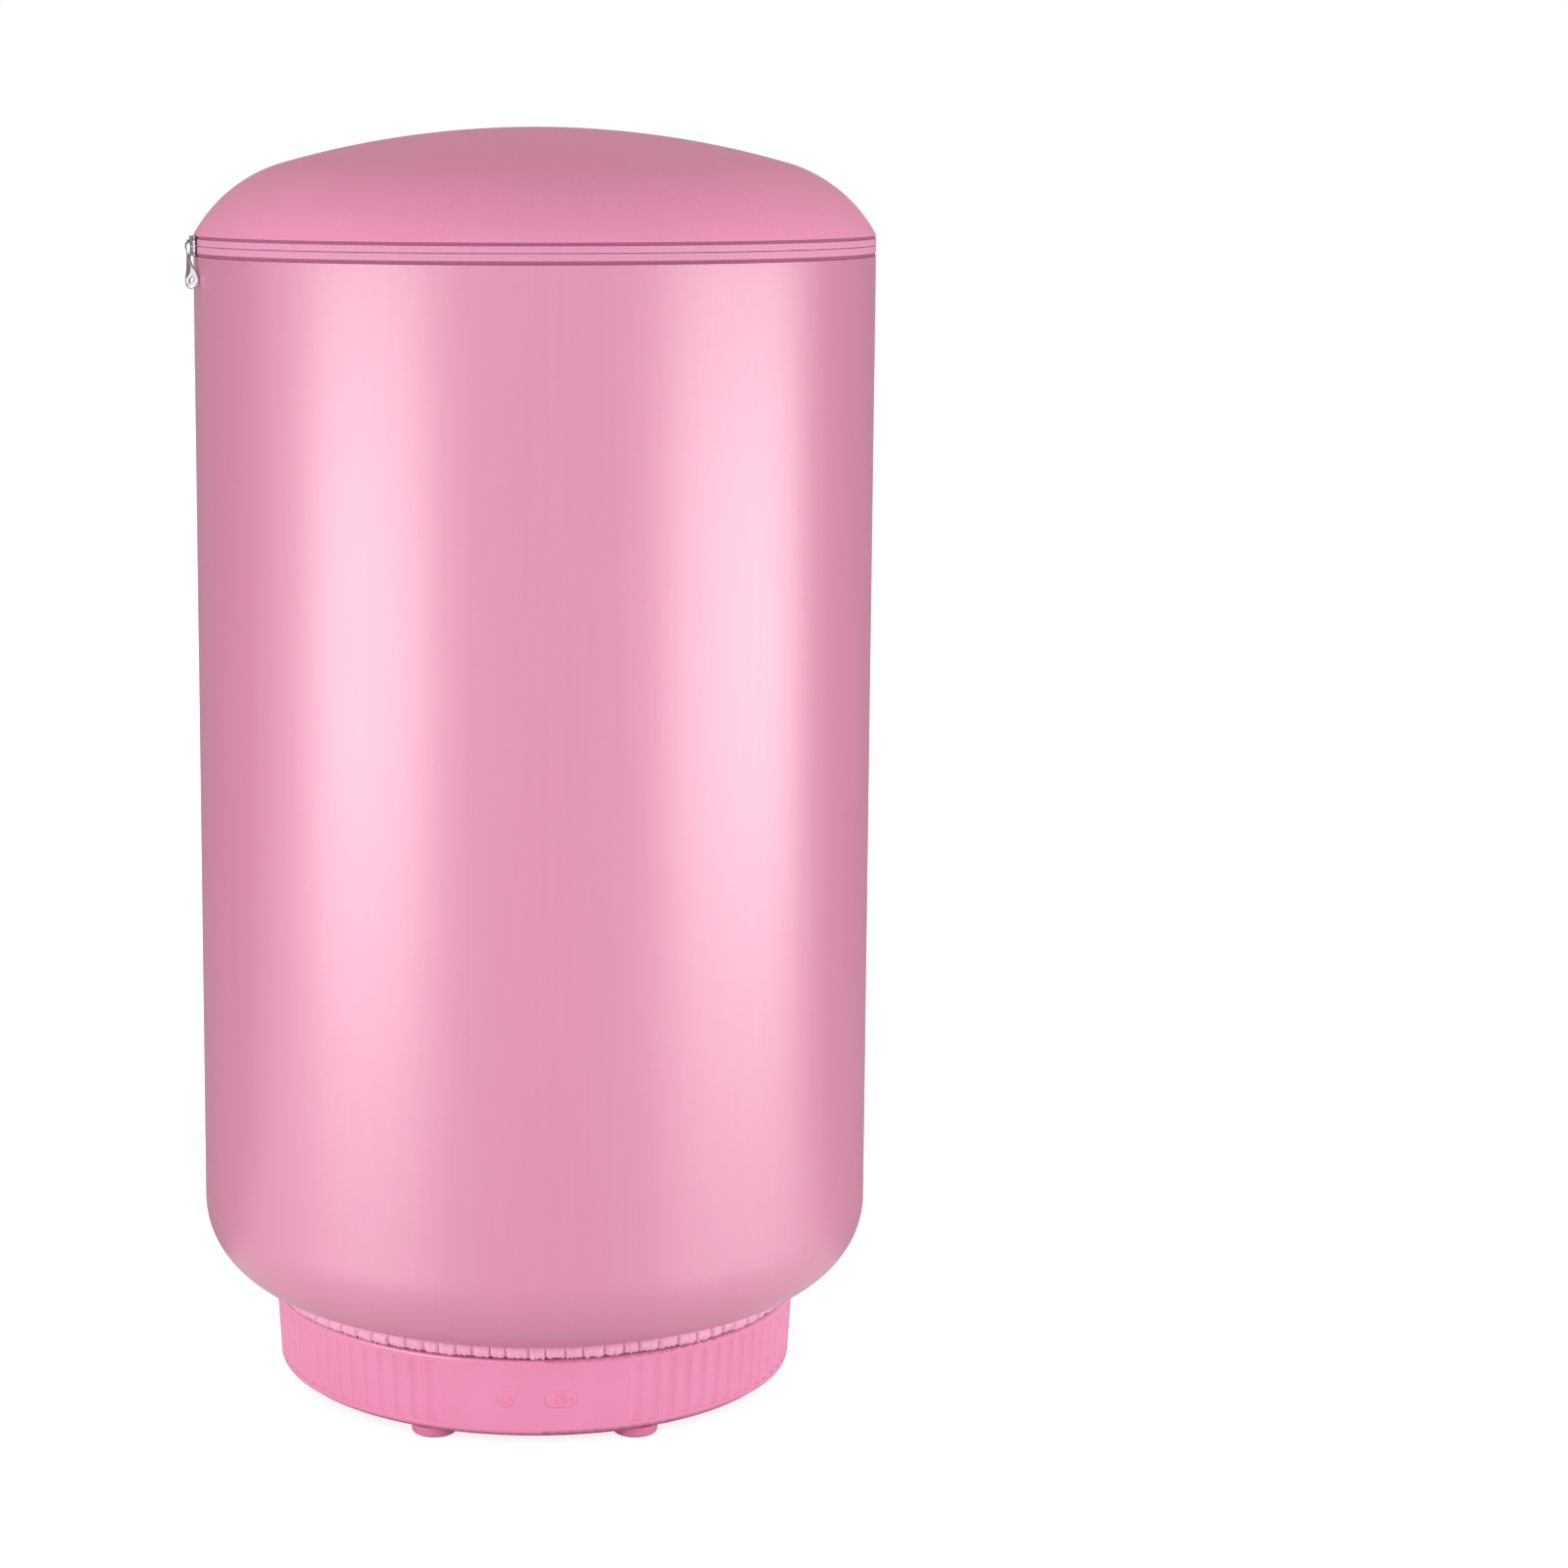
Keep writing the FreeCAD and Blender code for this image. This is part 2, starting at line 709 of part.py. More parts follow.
def heater_element():
    """PTC heater: thin upright fins between two hoops."""
    body = new_body("heater_element")
    top = heater_seat + S.heater_height
    outside = S.duct_radius - S.clearance
    revolve(body, rectangle(
        new_sketch(body, "XZ_Plane"), outside - 1.5, outside, heater_seat, top,
    ))
    fin = new_sketch(body, "XY_Plane", heater_seat)
    rectangle(fin, S.heater_bore + 0.5, outside - 1, S.fin_sheet / -2, S.fin_sheet / 2)
    around(body, pad(body, fin, S.heater_height), S.fin_count)
    body.Tip = revolve(body, rectangle(
        new_sketch(body, "XZ_Plane"), S.heater_bore, S.heater_bore + 1.5, heater_seat, top,
    ))
    return body


def thermal_cutout():
    """Safety switch clipped to the outside of the heater's collar."""
    made = doc.addObject("Part::Box", "thermal_cutout")
    made.Label = "thermal_cutout"
    bind(made, "Length", 5)
    bind(made, "Width", 9)
    bind(made, "Height", 7)
    reach = S.duct_radius + S.duct_wall + S.clearance
    place(made, reach * cosine(60), reach * sine(60), heater_seat, 60)
    return made


def grille_slot(sketch, inner, outer, count):
    """A wedge between two spokes that are as wide at both ends."""
    spoke = S.grille_spoke / 2
    near = inner * sine(180 / count) - spoke
    far = outer * sine(180 / count) - spoke
    return outline(sketch, (inner, -near), (outer, -far), (outer, far), (inner, near))


def outlet_grille():
    """Warm-air grille in the deck, moulded with the socket that the pole stands in."""
    body = new_body("outlet_grille")
    flange = S.opening_radius + 4
    spigot = S.opening_radius - S.clearance
    top = S.deck_height + 2
    bore = S.pole_radius + S.fit
    boss = bore + 4
    revolve(body, outline(
        new_sketch(body, "XZ_Plane"),
        (0, S.socket_floor - 2.5),
        (boss, S.socket_floor - 2.5),
        (boss, under_deck),
        (spigot, under_deck),
        (spigot, S.deck_height),
        (flange, S.deck_height),
        (flange, top - 1), Arc(1, 1),
        (flange - 1, top),
        (boss, top),
        (boss - 1.5, S.socket_top),
        (bore, S.socket_top),
        (bore, S.socket_floor),
        (0, S.socket_floor),
    ))
    middle = (boss + spigot) / 2
    for inner, outer, count in ((boss + 1.5, middle - 1.5, 20), (middle + 1.5, spigot - 3, 40)):
        slot = grille_slot(new_sketch(body, "XY_Plane", top), inner, outer, count)
        around(body, pad(body, slot, top - under_deck + 1, kind="Pocket"), count)
    return body


def control_board():
    """Circuit board behind the panel, with a push switch for each button."""
    body = new_body("control_board")
    face = board_depth
    low = S.button_height - S.board_height / 2
    board = new_sketch(body, "XZ_Plane", face - S.board_sheet)
    rectangle(board, S.board_width / -2, S.board_width / 2, low, low + S.board_height)
    pad(body, board, S.board_sheet)
    switches = new_sketch(body, "XZ_Plane", face)
    for side in (S.power_side, S.timer_side):
        rectangle(switches, side - 3, side + 3, S.button_height - 3, S.button_height + 3)
        ring(switches, side, S.button_height, 1.5 + S.fit)
    pad(body, switches, 5)
    rails = new_sketch(body, "XY_Plane", floor_top)
    for side in (S.board_width / -2 + 6, S.board_width / 2 - 6):
        rectangle(rails, side - 2, side + 2, S.board_sheet - face, 6 - face)
    body.Tip = pad(body, rails, low + 4 - floor_top)
    return body


def button(label, side, half):
    """A button cap with a flange behind the panel and a stem in its switch."""
    body = new_body(label)
    face = button_face
    reach = S.button_radius + 1.5
    widest = root(side * side) + (reach if half is None else reach + half)
    inside = wall_radius(S.button_height - reach) - S.shell_wall
    caught = root(inside * inside - widest * widest) - 1.2 - S.clearance
    cap = new_sketch(body, "XZ_Plane", caught)
    stem = ring(new_sketch(body, "XZ_Plane", board_depth + 2.5), side, S.button_height, 1.5)
    flange = new_sketch(body, "XZ_Plane", caught)
    if half is None:
        ring(cap, side, S.button_height, S.button_radius)
        ring(flange, side, S.button_height, S.button_radius + 1.5)
    else:
        pill(cap, side, S.button_height, half, S.button_radius)
        pill(flange, side, S.button_height, half, S.button_radius + 1.5)
    pad(body, cap, face - caught)
    pad(body, flange, 1.2)
    body.Tip = pad(body, stem, caught - board_depth - 2)
    return body


def inlet_socket():
    """Figure-eight mains inlet, pushed into the boss up to its flange."""
    body = new_body("inlet_socket")
    half = S.inlet_width / 2
    rise = S.inlet_tall / 2
    height = S.inlet_height
    plug = new_sketch(body, "XZ_Plane", -inlet_face)
    rectangle(plug, -half, half, height - rise, height + rise)
    pad(body, plug, 14)
    flange = new_sketch(body, "XZ_Plane", -inlet_face - 1.5)
    rectangle(flange, -half - 2, half + 2, height - rise - 2, height + rise + 2)
    pad(body, flange, 1.5)
    well = new_sketch(body, "XZ_Plane", -inlet_face - 1.5)
    pill(well, size(0), height, S.pin_spacing / 2 - 1, S.inlet_tall / 2 - 1.7)
    body.Tip = pad(body, well, 11, reverse=True, kind="Pocket")
    return body


def inlet_pins():
    pins = []
    for number, side in enumerate((-1, 1), start=1):
        pin = doc.addObject("Part::Cylinder", f"inlet_pin_{number}")
        bind(pin, "Radius", S.pin_radius)
        bind(pin, "Height", 9)
        pin.Placement.Rotation = FreeCAD.Rotation(FreeCAD.Vector(1, 0, 0), 90)
        pin.setExpression("Placement.Base.x", (S.pin_spacing / 2 * side).formula)
        pin.setExpression("Placement.Base.y", (inlet_face - 0.3).formula)
        pin.setExpression("Placement.Base.z", S.inlet_height.formula)
        pins.append(pin)
    return group("inlet_pins", pins)


# ---------------------------------------------------------------- telescopic pole and arms


def pole_radius(stage):
    return S.pole_radius - S.stage_step * stage


def pole_stage(label, stage):
    outside = pole_radius(stage)
    low = S.socket_floor + stage_rise * stage
    return band(label, outside - S.tube_wall, outside, low, stage_length)


def pole_bush(label, stage):
    """Collar on the mouth of a stage that guides the next one."""
    body = new_body(label)
    outside = pole_radius(stage)
    following = pole_radius(stage + 1) + S.fit
    mouth = S.socket_floor + stage_rise * stage + stage_length
    revolve(body, outline(
        new_sketch(body, "XZ_Plane"),
        (outside + S.fit, mouth - 9),
        (outside + 1.8, mouth - 9),
        (outside + 1.8, mouth + 1.5), Arc(1, 1),
        (outside + 0.8, mouth + 2.5),
        (following, mouth + 2.5),
        (following, mouth),
        (outside + S.fit, mouth),
    ))
    return body


def arm_hub():
    """Hub on top of the pole, with one slot and one pin hole for each arm."""
    body = new_body("arm_hub")
    bore = pole_radius(2) + S.fit
    low = arm_height - 7
    top = arm_height + S.arm_depth / 2 + S.clearance + 3
    revolve(body, outline(
        new_sketch(body, "XZ_Plane"),
        (bore, low),
        (S.spider_radius, low),
        (S.spider_radius, top - 2), Arc(2, 1),
        (S.spider_radius - 2, top),
        (0, top),
        (0, pole_top + S.clearance),
        (bore, pole_top + S.clearance),
    ))
    slot = new_sketch(body, "XY_Plane", low - 1)
    inner = S.arm_pivot - S.arm_depth / 2 - 0.5
    half = S.arm_width / 2 + S.clearance
    rectangle(slot, inner, S.spider_radius + 1, -half, half)
    cut = pad(body, slot, top - 3 - low + 1, reverse=True, kind="Pocket")
    hole = ring(
        new_sketch(body, "XZ_Plane"), S.arm_pivot, arm_height, S.arm_pin + S.fit
    )
    drill = pad(body, hole, S.arm_width + 8, both=True, kind="Pocket")
    around(body, cut, S.arm_count).Originals = [cut, drill]
    place(body, turn=arm_angle(0))
    return body


def arm_angle(number):
    return 360 / S.arm_count * (number + 0.5)


def arm_pins():
    pins = []
    length = S.arm_width + 6
    for number in range(int(S.arm_count.value)):
        pin = doc.addObject("Part::Cylinder", f"arm_pin_{number + 1}")
        bind(pin, "Radius", S.arm_pin)
        bind(pin, "Height", length)
        angle = arm_angle(number)
        pin.Placement.Rotation = FreeCAD.Rotation(FreeCAD.Vector(0, 0, 1), angle.value) * (
            FreeCAD.Rotation(FreeCAD.Vector(1, 0, 0), 90)
        )
        across = S.arm_pivot * cosine(angle) - length / 2 * sine(angle)
        along = S.arm_pivot * sine(angle) + length / 2 * cosine(angle)
        pin.setExpression("Placement.Base.x", across.formula)
        pin.setExpression("Placement.Base.y", along.formula)
        pin.setExpression("Placement.Base.z", arm_height.formula)
        pins.append(pin)
    return group("arm_pins", pins)


def hanger_arm(number):
    """A folding arm: notches for coat hangers, and a saddle at its tip under the top hoop."""
    body = new_body(f"arm_{number + 1}")
    half = S.arm_depth / 2
    height = arm_height
    top = height + half
    seat = hoop_height - S.hoop_wire - S.clearance
    tip = hoop_radius + 1.2
    horn = hoop_radius - S.hoop_wire - 1
    side = outline(
        new_sketch(body, "XZ_Plane"),
        (S.arm_pivot, height - half),
        (arm_tip - 6, top - 4.5),
        (tip, top - 3),
        (tip, seat),
        (horn, seat),
        (horn, seat + 3),
        (horn - 3, seat + 3),
        (horn - 4, top),
        (S.arm_pivot, top), Arc(half * 1.0, 1),
        (S.arm_pivot - half, height), Arc(half * 1.0, 1),
    )
    pad(body, side, S.arm_width, both=True)
    holes = new_sketch(body, "XZ_Plane")
    ring(holes, S.arm_pivot, height, S.arm_pin + S.fit)
    start = S.spider_radius + 18
    pitch = (arm_tip - 12 - start) / (S.notch_count - 1)
    for notch in range(int(S.notch_count.value)):
        ring(holes, start + pitch * notch, top + 1, S.notch_radius)
    body.Tip = pad(body, holes, S.arm_width * 2, both=True, kind="Pocket")
    place(body, turn=arm_angle(number))
    return body


# ---------------------------------------------------------------- soft barrel


def barrel_bowl():
    """The barrel's rounded bottom, drawn in under the lip of the base."""
    body = new_body("barrel_bowl")
    turn = S.barrel_radius - S.bowl_radius
    mouth = groove_radius + S.clearance
    revolve(body, outline(
        new_sketch(body, "XZ_Plane"),
        (mouth, bowl_floor),
        (turn, bowl_floor), Arc(S.bowl_radius, 1),
        (S.barrel_radius, S.knee_height),
        (S.barrel_radius - S.cloth, S.knee_height), Arc(S.bowl_radius - S.cloth, -1),
        (turn, bowl_floor + S.cloth),
        (mouth, bowl_floor + S.cloth),
    ))
    return body


def elastic_hem():
    """Elastic in the groove of the base, with its gathered frill hanging over the flutes."""
    body = new_body("elastic_hem")
    mouth = groove_radius + S.clearance
    inside = base_radius + S.clearance
    outside = inside + S.frill_cloth
    top = bowl_floor - S.clearance
    low = S.rim_height + S.clearance
    revolve(body, outline(
        new_sketch(body, "XZ_Plane"),
        (mouth, low),
        (inside, low),
        (inside, top - S.frill_drop),
        (outside, top - S.frill_drop),
        (outside, top),
        (mouth, top),
    ))
    return body


def zip_tape(label, low):
    sweep = 360 - 2 * S.zip_end_arc
    inside = S.barrel_radius - S.cloth
    return band(label, inside, S.barrel_radius, low, S.zip_row, 90 + S.zip_end_arc, sweep)


def hinge_strip(label, low, high):
    """Sewn strip that joins lid and wall behind the zip's two ends."""
    half = S.zip_end_arc - 0.4
    inside = S.barrel_radius - S.cloth
    return band(label, inside, S.barrel_radius, low, high - low, 90 - half, 2 * half)


def dome_curves():
    """Shoulder radius and centre of the dome: an arc from the rim, tangent to the crown."""
    lean = crown_half / S.crown_radius
    upright = root(1 - lean * lean)
    crown_end = dome_low + S.dome_rise - S.crown_radius * (1 - upright)
    run = S.barrel_radius - crown_half
    drop = crown_end - dome_low
    radius = (run * run + drop * drop) / (2 * (drop * upright - run * lean))
    centre = (crown_half - lean * radius, crown_end - upright * radius)
    return lean, upright, crown_end, radius, centre


def lid_dome():
    body = new_body("lid_dome")
    lean, upright, crown_end, radius, centre = dome_curves()
    apex = dome_low + S.dome_rise
    inner = radius - S.cloth
    below = dome_low - centre[1]
    revolve(body, outline(
        new_sketch(body, "XZ_Plane"),
        (centre[0] + root(inner * inner - below * below), dome_low),
        (S.barrel_radius, dome_low), Arc(radius, 1),
        (crown_half, crown_end), Arc(S.crown_radius, 1),
        (0, apex),
        (0, apex - S.cloth), Arc(S.crown_radius - S.cloth, -1),
        (crown_half - lean * S.cloth, crown_end - upright * S.cloth), Arc(inner, -1),
    ))
    return body


def lid_hoop():
    """Hoop that keeps the lid round, just above the slider's way."""
    _, _, _, radius, centre = dome_curves()
    height = dome_low + S.lid_wire + 2 * S.clearance
    reach = radius - S.cloth - S.clearance - S.lid_wire
    above = height - centre[1]
    return wire_hoop(
        "lid_hoop", centre[0] + root(reach * reach - above * above), S.lid_wire, height
    )


def zip_stops():
    """Blocks on the lower tape that stop the slider at both ends."""
    inside = S.barrel_radius + S.clearance
    width = 1.1
    first = band(
        "zip_stop_left", inside, inside + 1, lower_tape, S.zip_row,
        90 + S.zip_end_arc + 0.3, width,
    )
    second = band(
        "zip_stop_right", inside, inside + 1, lower_tape, S.zip_row,
        90 - S.zip_end_arc - 0.3 - width, width,
    )
    return group("zip_stops", [first, second])


def slider_face():
    """Distance of the slider's outer face from the barrel's axis."""
    return S.barrel_radius + 3 * S.clearance + S.slider_plate


def rounded_plate(body, offset, half, rise, corner, thickness):
    """A plate with round corners, standing across the body's X axis."""
    sketch = new_sketch(body, "YZ_Plane", offset)
    middle = S.zip_height
    outline(
        sketch,
        (corner - half, middle - rise),
        (half - corner, middle - rise), Arc(corner, 1),
        (half, middle - rise + corner),
        (half, middle + rise - corner), Arc(corner, 1),
        (half - corner, middle + rise),
        (corner - half, middle + rise), Arc(corner, 1),
        (-half, middle + rise - corner),
        (-half, middle - rise + corner), Arc(corner, 1),
    )
    return pad(body, sketch, thickness)


def zip_slider():
    """Two plates round both tapes, joined by a post between them, with a rivet for the pull."""
    body = new_body("zip_slider")
    face = slider_face()
    half = S.slider_length / 2
    rise = S.zip_row + S.zip_gap / 2 - 0.1
    inner_face = S.barrel_radius - S.cloth - 2 * S.clearance
    rounded_plate(body, face - S.slider_plate, half, rise, 2, S.slider_plate)
    post = new_sketch(body, "YZ_Plane", inner_face - 0.5)
    rectangle(post, -2.5, 2.5, S.zip_height - S.zip_gap / 4, S.zip_height + S.zip_gap / 4)
    pad(body, post, face - inner_face)
    rounded_plate(body, inner_face - S.slider_plate, half, rise, 2, S.slider_plate)
    rivet = ring(new_sketch(body, "YZ_Plane", face - 0.2), 0, S.zip_height, 1.1)
    pad(body, rivet, 2.6)
    head = ring(new_sketch(body, "YZ_Plane", face + 1.9), 0, S.zip_height, 1.9)
    body.Tip = pad(body, head, 0.8)
    place(body, turn=S.slider_side)
    return body


def pull_tab():
    """Flat pull with an eye on the slider's rivet and a round hole near its end."""
    body = new_body("pull_tab")
    shape = new_sketch(body, "YZ_Plane", slider_face() + S.clearance)
    shape.setExpression("AttachmentOffset.Base.y", S.zip_height.formula)
    shape.setExpression("AttachmentOffset.Rotation.Angle", S.pull_lean.formula)
    half = S.pull_width / 2
    neck = 2.6
    end = -S.pull_length
    outline(
        shape,
        (neck, 0), Arc(neck, 1),
        (0, neck), Arc(neck, 1),
        (-neck, 0),
        (-half, end + half + 4),
        (-half, end + half), Arc(half, 1),
        (0, end), Arc(half, 1),
        (half, end + half),
        (half, end + half + 4),
    )
    ring(shape, 0, 0, 1.1 + S.fit)
    ring(shape, 0, end + half, half - 1.6)
    body.Tip = pad(body, shape, 1.2)
    place(body, turn=S.slider_side)
    return body


# ---------------------------------------------------------------- the whole part

parts = [
    housing(),
    lower_shell(),
    case_screws(),
    fan_frame(),
    fan_motor(),
    motor_shaft(),
    impeller(),
    intake_filter(),
    heater_frame(),
    heater_element(),
    thermal_cutout(),
    outlet_grille(),
    control_board(),
    button("power_button", S.power_side, None),
    button("timer_button", S.timer_side, S.timer_half),
    inlet_socket(),
    inlet_pins(),
    pole_stage("lower_pole", 0),
    pole_bush("lower_bush", 0),
    pole_stage("middle_pole", 1),
    pole_bush("middle_bush", 1),
    pole_stage("upper_pole", 2),
    arm_hub(),
    arm_pins(),
    barrel_bowl(),
    band("barrel_wall", S.barrel_radius - S.cloth, S.barrel_radius, S.knee_height,
         wall_top - S.knee_height),
    elastic_hem(),
    wire_hoop("bottom_hoop", hoop_radius, S.hoop_wire, S.knee_height + S.hoop_wire),
    wire_hoop("top_hoop", hoop_radius, S.hoop_wire, hoop_height),
    zip_tape("zip_tape_lower", lower_tape),
    zip_tape("zip_tape_upper", upper_tape),
    hinge_strip("hinge_strip_lower", lower_tape, S.zip_height - S.clearance),
    hinge_strip("hinge_strip_upper", S.zip_height + S.clearance, dome_low),
    lid_dome(),
    lid_hoop(),
    zip_stops(),
    zip_slider(),
    pull_tab(),
]
parts += [foot(n, *where) for n, where in enumerate(foot_places(), start=1)]
parts += [hanger_arm(n) for n in range(int(S.arm_count.value))]

doc.recompute()
for thing in doc.Objects:
    if "Invalid" in thing.State or "Error" in thing.State:
        raise RuntimeError(f"{thing.Name} failed: {thing.State}")
for part in parts:
    if part.Shape.isNull() or not part.Shape.isValid():
        raise RuntimeError(f"{part.Label} has no valid shape")

os.makedirs("parts", exist_ok=True)
for part in parts:
    part.Shape.exportStep(f"parts/{part.Label}.step")
    solids = len(part.Shape.Solids)
    print(f"{part.Label}: {solids} solid(s), {part.Shape.Volume / 1000:.2f} cm3")
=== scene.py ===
"""Warm-air clothes dryer: a fan-heater base, a telescopic pole with six folding arms, and a soft
barrel with a zipped dome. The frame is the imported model's: metres, floor at 0, front at -Y."""

import json
import math

import bmesh
import bpy
import numpy as np
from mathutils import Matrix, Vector


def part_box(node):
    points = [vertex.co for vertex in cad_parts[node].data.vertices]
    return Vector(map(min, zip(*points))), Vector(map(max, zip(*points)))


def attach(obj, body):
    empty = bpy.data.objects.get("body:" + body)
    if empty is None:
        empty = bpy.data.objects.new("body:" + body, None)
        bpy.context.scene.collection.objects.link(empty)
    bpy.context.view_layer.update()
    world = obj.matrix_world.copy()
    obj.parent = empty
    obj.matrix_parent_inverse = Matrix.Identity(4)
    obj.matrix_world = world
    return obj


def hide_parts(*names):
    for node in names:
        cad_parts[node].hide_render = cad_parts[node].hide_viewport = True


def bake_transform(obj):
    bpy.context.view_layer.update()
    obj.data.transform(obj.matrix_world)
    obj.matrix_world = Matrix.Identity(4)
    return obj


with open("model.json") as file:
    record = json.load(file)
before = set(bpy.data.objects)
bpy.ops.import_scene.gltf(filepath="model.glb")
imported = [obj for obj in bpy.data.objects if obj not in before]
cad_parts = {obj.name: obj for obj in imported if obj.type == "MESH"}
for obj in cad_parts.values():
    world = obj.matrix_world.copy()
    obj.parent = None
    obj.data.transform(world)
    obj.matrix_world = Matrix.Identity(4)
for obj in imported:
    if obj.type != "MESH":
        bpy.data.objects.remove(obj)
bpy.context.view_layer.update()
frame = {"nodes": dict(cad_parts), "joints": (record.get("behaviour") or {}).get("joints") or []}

# ---- Base shell
# One injection moulding in pink ABS: a short drum whose wall is fluted all round but for a
# smooth panel at the front. The tool's fine spark-eroded grain takes its shine down to a satin.


def srgb(code):
    """An sRGB hex colour as linear RGBA."""
    shades = [int(code[at:at + 2], 16) / 255 for at in (0, 2, 4)]
    linear = [s / 12.92 if s <= 0.04045 else ((s + 0.055) / 1.055) ** 2.4 for s in shades]
    return (*linear, 1.0)


def add(finish, kind, inputs=(), **settings):
    """Adds one node to a finish, with its settings and its inputs, and returns its outputs."""
    made = finish.node_tree.nodes.new("ShaderNode" + kind)
    for name, value in settings.items():
        setattr(made, name, value)
    for name, value in dict(inputs).items():
        if isinstance(value, bpy.types.NodeSocket):
            finish.node_tree.links.new(value, made.inputs[name])
        else:
            made.inputs[name].default_value = value
    return made.outputs


def new_finish(name, roughness, colour=None, **inputs):
    """A finish with its shader, and that shader's own sockets set."""
    finish = bpy.data.materials.new(name)
    finish.use_nodes = True
    shader = finish.node_tree.nodes["Principled BSDF"]
    shader.inputs["Roughness"].default_value = roughness
    if colour:
        shader.inputs["Base Color"].default_value = srgb(colour)
    for socket, value in inputs.items():
        shader.inputs[socket.replace("_", " ")].default_value = value
    return finish


def wire(finish, value, socket):
    """Links a value to the finish's shader."""
    shader = finish.node_tree.nodes["Principled BSDF"]
    finish.node_tree.links.new(value, shader.inputs[socket])


GLOSS_DRIFT = 0.03  # how far roughness strays from its mean


def mottled(finish, place, low, high, size, roughness):
    """Colour and gloss that drift a little over a given size in metres."""
    drift = add(finish, "TexNoise", {"Vector": place, "Scale": 1 / size, "Detail": 3.0})["Fac"]
    shade = add(finish, "Mix", {0: drift, 6: srgb(low), 7: srgb(high)}, data_type="RGBA")
    gloss = add(
        finish, "MapRange",
        {"Value": drift, "To Min": roughness - GLOSS_DRIFT, "To Max": roughness + GLOSS_DRIFT},
    )
    wire(finish, shade[2], "Base Color")
    wire(finish, gloss[0], "Roughness")


COARSER = 2.0  # real grains are 0.3 to 0.8 mm; each is drawn twice as coarse, so that it shows


def grained(finish, place, grain, depth):
    """Bumps of a real grain's size and depth, in millimetres."""
    bumps = add(
        finish, "TexNoise", {"Vector": place, "Scale": 1000 / (COARSER * grain), "Detail": 2.0}
    )
    bump = add(
        finish, "Bump", {"Height": bumps["Fac"], "Distance": depth / 1000, "Strength": 1.0}
    )
    wire(finish, bump["Normal"], "Normal")


PATCH = 0.03  # metres across a patch in a moulding where the colour drifts


def moulded(name, low, high, roughness, grain, depth, **inputs):
    """Injection-moulded plastic with a fine grain from the tool, in millimetres."""
    finish = new_finish(name, roughness, **inputs)
    place = add(finish, "TexCoord")["Object"]
    mottled(finish, place, low, high, PATCH, roughness)
    grained(finish, place, grain, depth)
    return finish


def finish_node(finish, *names):
    """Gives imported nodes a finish, through their objects' own slots."""
    for name in names:
        piece = frame["nodes"][name]
        if not piece.material_slots:
            piece.data.materials.append(finish)
        for place in piece.material_slots:
            place.link = "OBJECT"
            place.material = finish


pink_abs = moulded(
    "pink_moulded_abs", "ef8cb6", "f599c2", 0.30, 0.35, 0.02, Specular_IOR_Level=0.8
)
finish_node(pink_abs, "housing")

# ---- Controls
# Two ABS push caps, ground flush with the curved panel, over tact switches on a small circuit
# board. The marks are pad-printed in coral: a ring and bar for power, a clock face for the timer.

# the shell's own ABS with half its grain, so that only a fine gap parts a cap from the panel
pink_cap = moulded(
    "pink_button_abs", "ef8cb6", "f599c2", 0.30, 0.35, 0.01, Specular_IOR_Level=0.8
)
# pad-printing ink dries duller than the cap, and only a little stronger in colour
coral_ink = new_finish("coral_pad_print", 0.5, "fb7fa8")
# solder resist over glass-epoxy laminate: a half-gloss green
board = moulded("glass_epoxy_board", "2f6b4a", "37795a", 0.45, 0.6, 0.01)
finish_node(board, "control_board")

shell_low, shell_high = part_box("housing")
DRAFT = 0.002  # how far the wall leans out from its foot to its rim
WALL_RISE = 0.036  # height from the wall's foot to its rim


def panel(x, z, proud=0.0):
    """Y of the drafted front panel at x and z, or of a point that stands proud of it."""
    reach = shell_high.x - DRAFT + DRAFT * (z - shell_low.z) / WALL_RISE + proud
    return -np.sqrt(reach * reach - x * x)


def new_piece(name, points, faces, finishes, indices=None, uvs=None, smooth=35.0):
    """A mesh object; edges sharper than the given angle stay sharp."""
    mesh = bpy.data.meshes.new(name)
    mesh.from_pydata(np.asarray(points, float).reshape(-1, 3).tolist(), [], faces)
    for finish in finishes:
        mesh.materials.append(finish)
    if indices is not None:
        mesh.polygons.foreach_set("material_index", indices)
    if uvs is not None:
        layer = mesh.uv_layers.new(name="cloth")
        layer.data.foreach_set("uv", np.asarray(uvs, np.float32).ravel())
    shell = bmesh.new()
    shell.from_mesh(mesh)
    bmesh.ops.recalc_face_normals(shell, faces=shell.faces)
    if shell.calc_volume(signed=True) < 0:
        bmesh.ops.reverse_faces(shell, faces=shell.faces)
    shell.to_mesh(mesh)
    shell.free()
    mesh.polygons.foreach_set("use_smooth", [True] * len(mesh.polygons))
    mesh.set_sharp_from_angle(angle=math.radians(smooth))
    mesh.update()
    piece = bpy.data.objects.new(name, mesh)
    bpy.context.scene.collection.objects.link(piece)
    return piece


def ring_faces(rows, wide, closed=False, full=True, capped=False):
    """Quads between neighbouring rows of points; capped rows end in a face at either end."""
    faces = []
    for i in range(rows if closed else rows - 1):
        above = (i + 1) % rows
        for j in range(wide if full else wide - 1):
            beside = (j + 1) % wide
            faces.append([i * wide + j, i * wide + beside, above * wide + beside, above * wide + j])
    if capped:
        faces += [list(range(wide))[::-1], [(rows - 1) * wide + j for j in range(wide)]]
    return faces


# across a cap's face, round its rim and down its skirt: share of its size, and how proud it is
CAP_PROFILE = (
    (0.30, 0.00020), (0.90, 0.00020), (0.96, 0.00015), (0.99, 0.00005), (1.0, -0.0002),
    (1.0, -0.0050), (0.3, -0.0050),
)


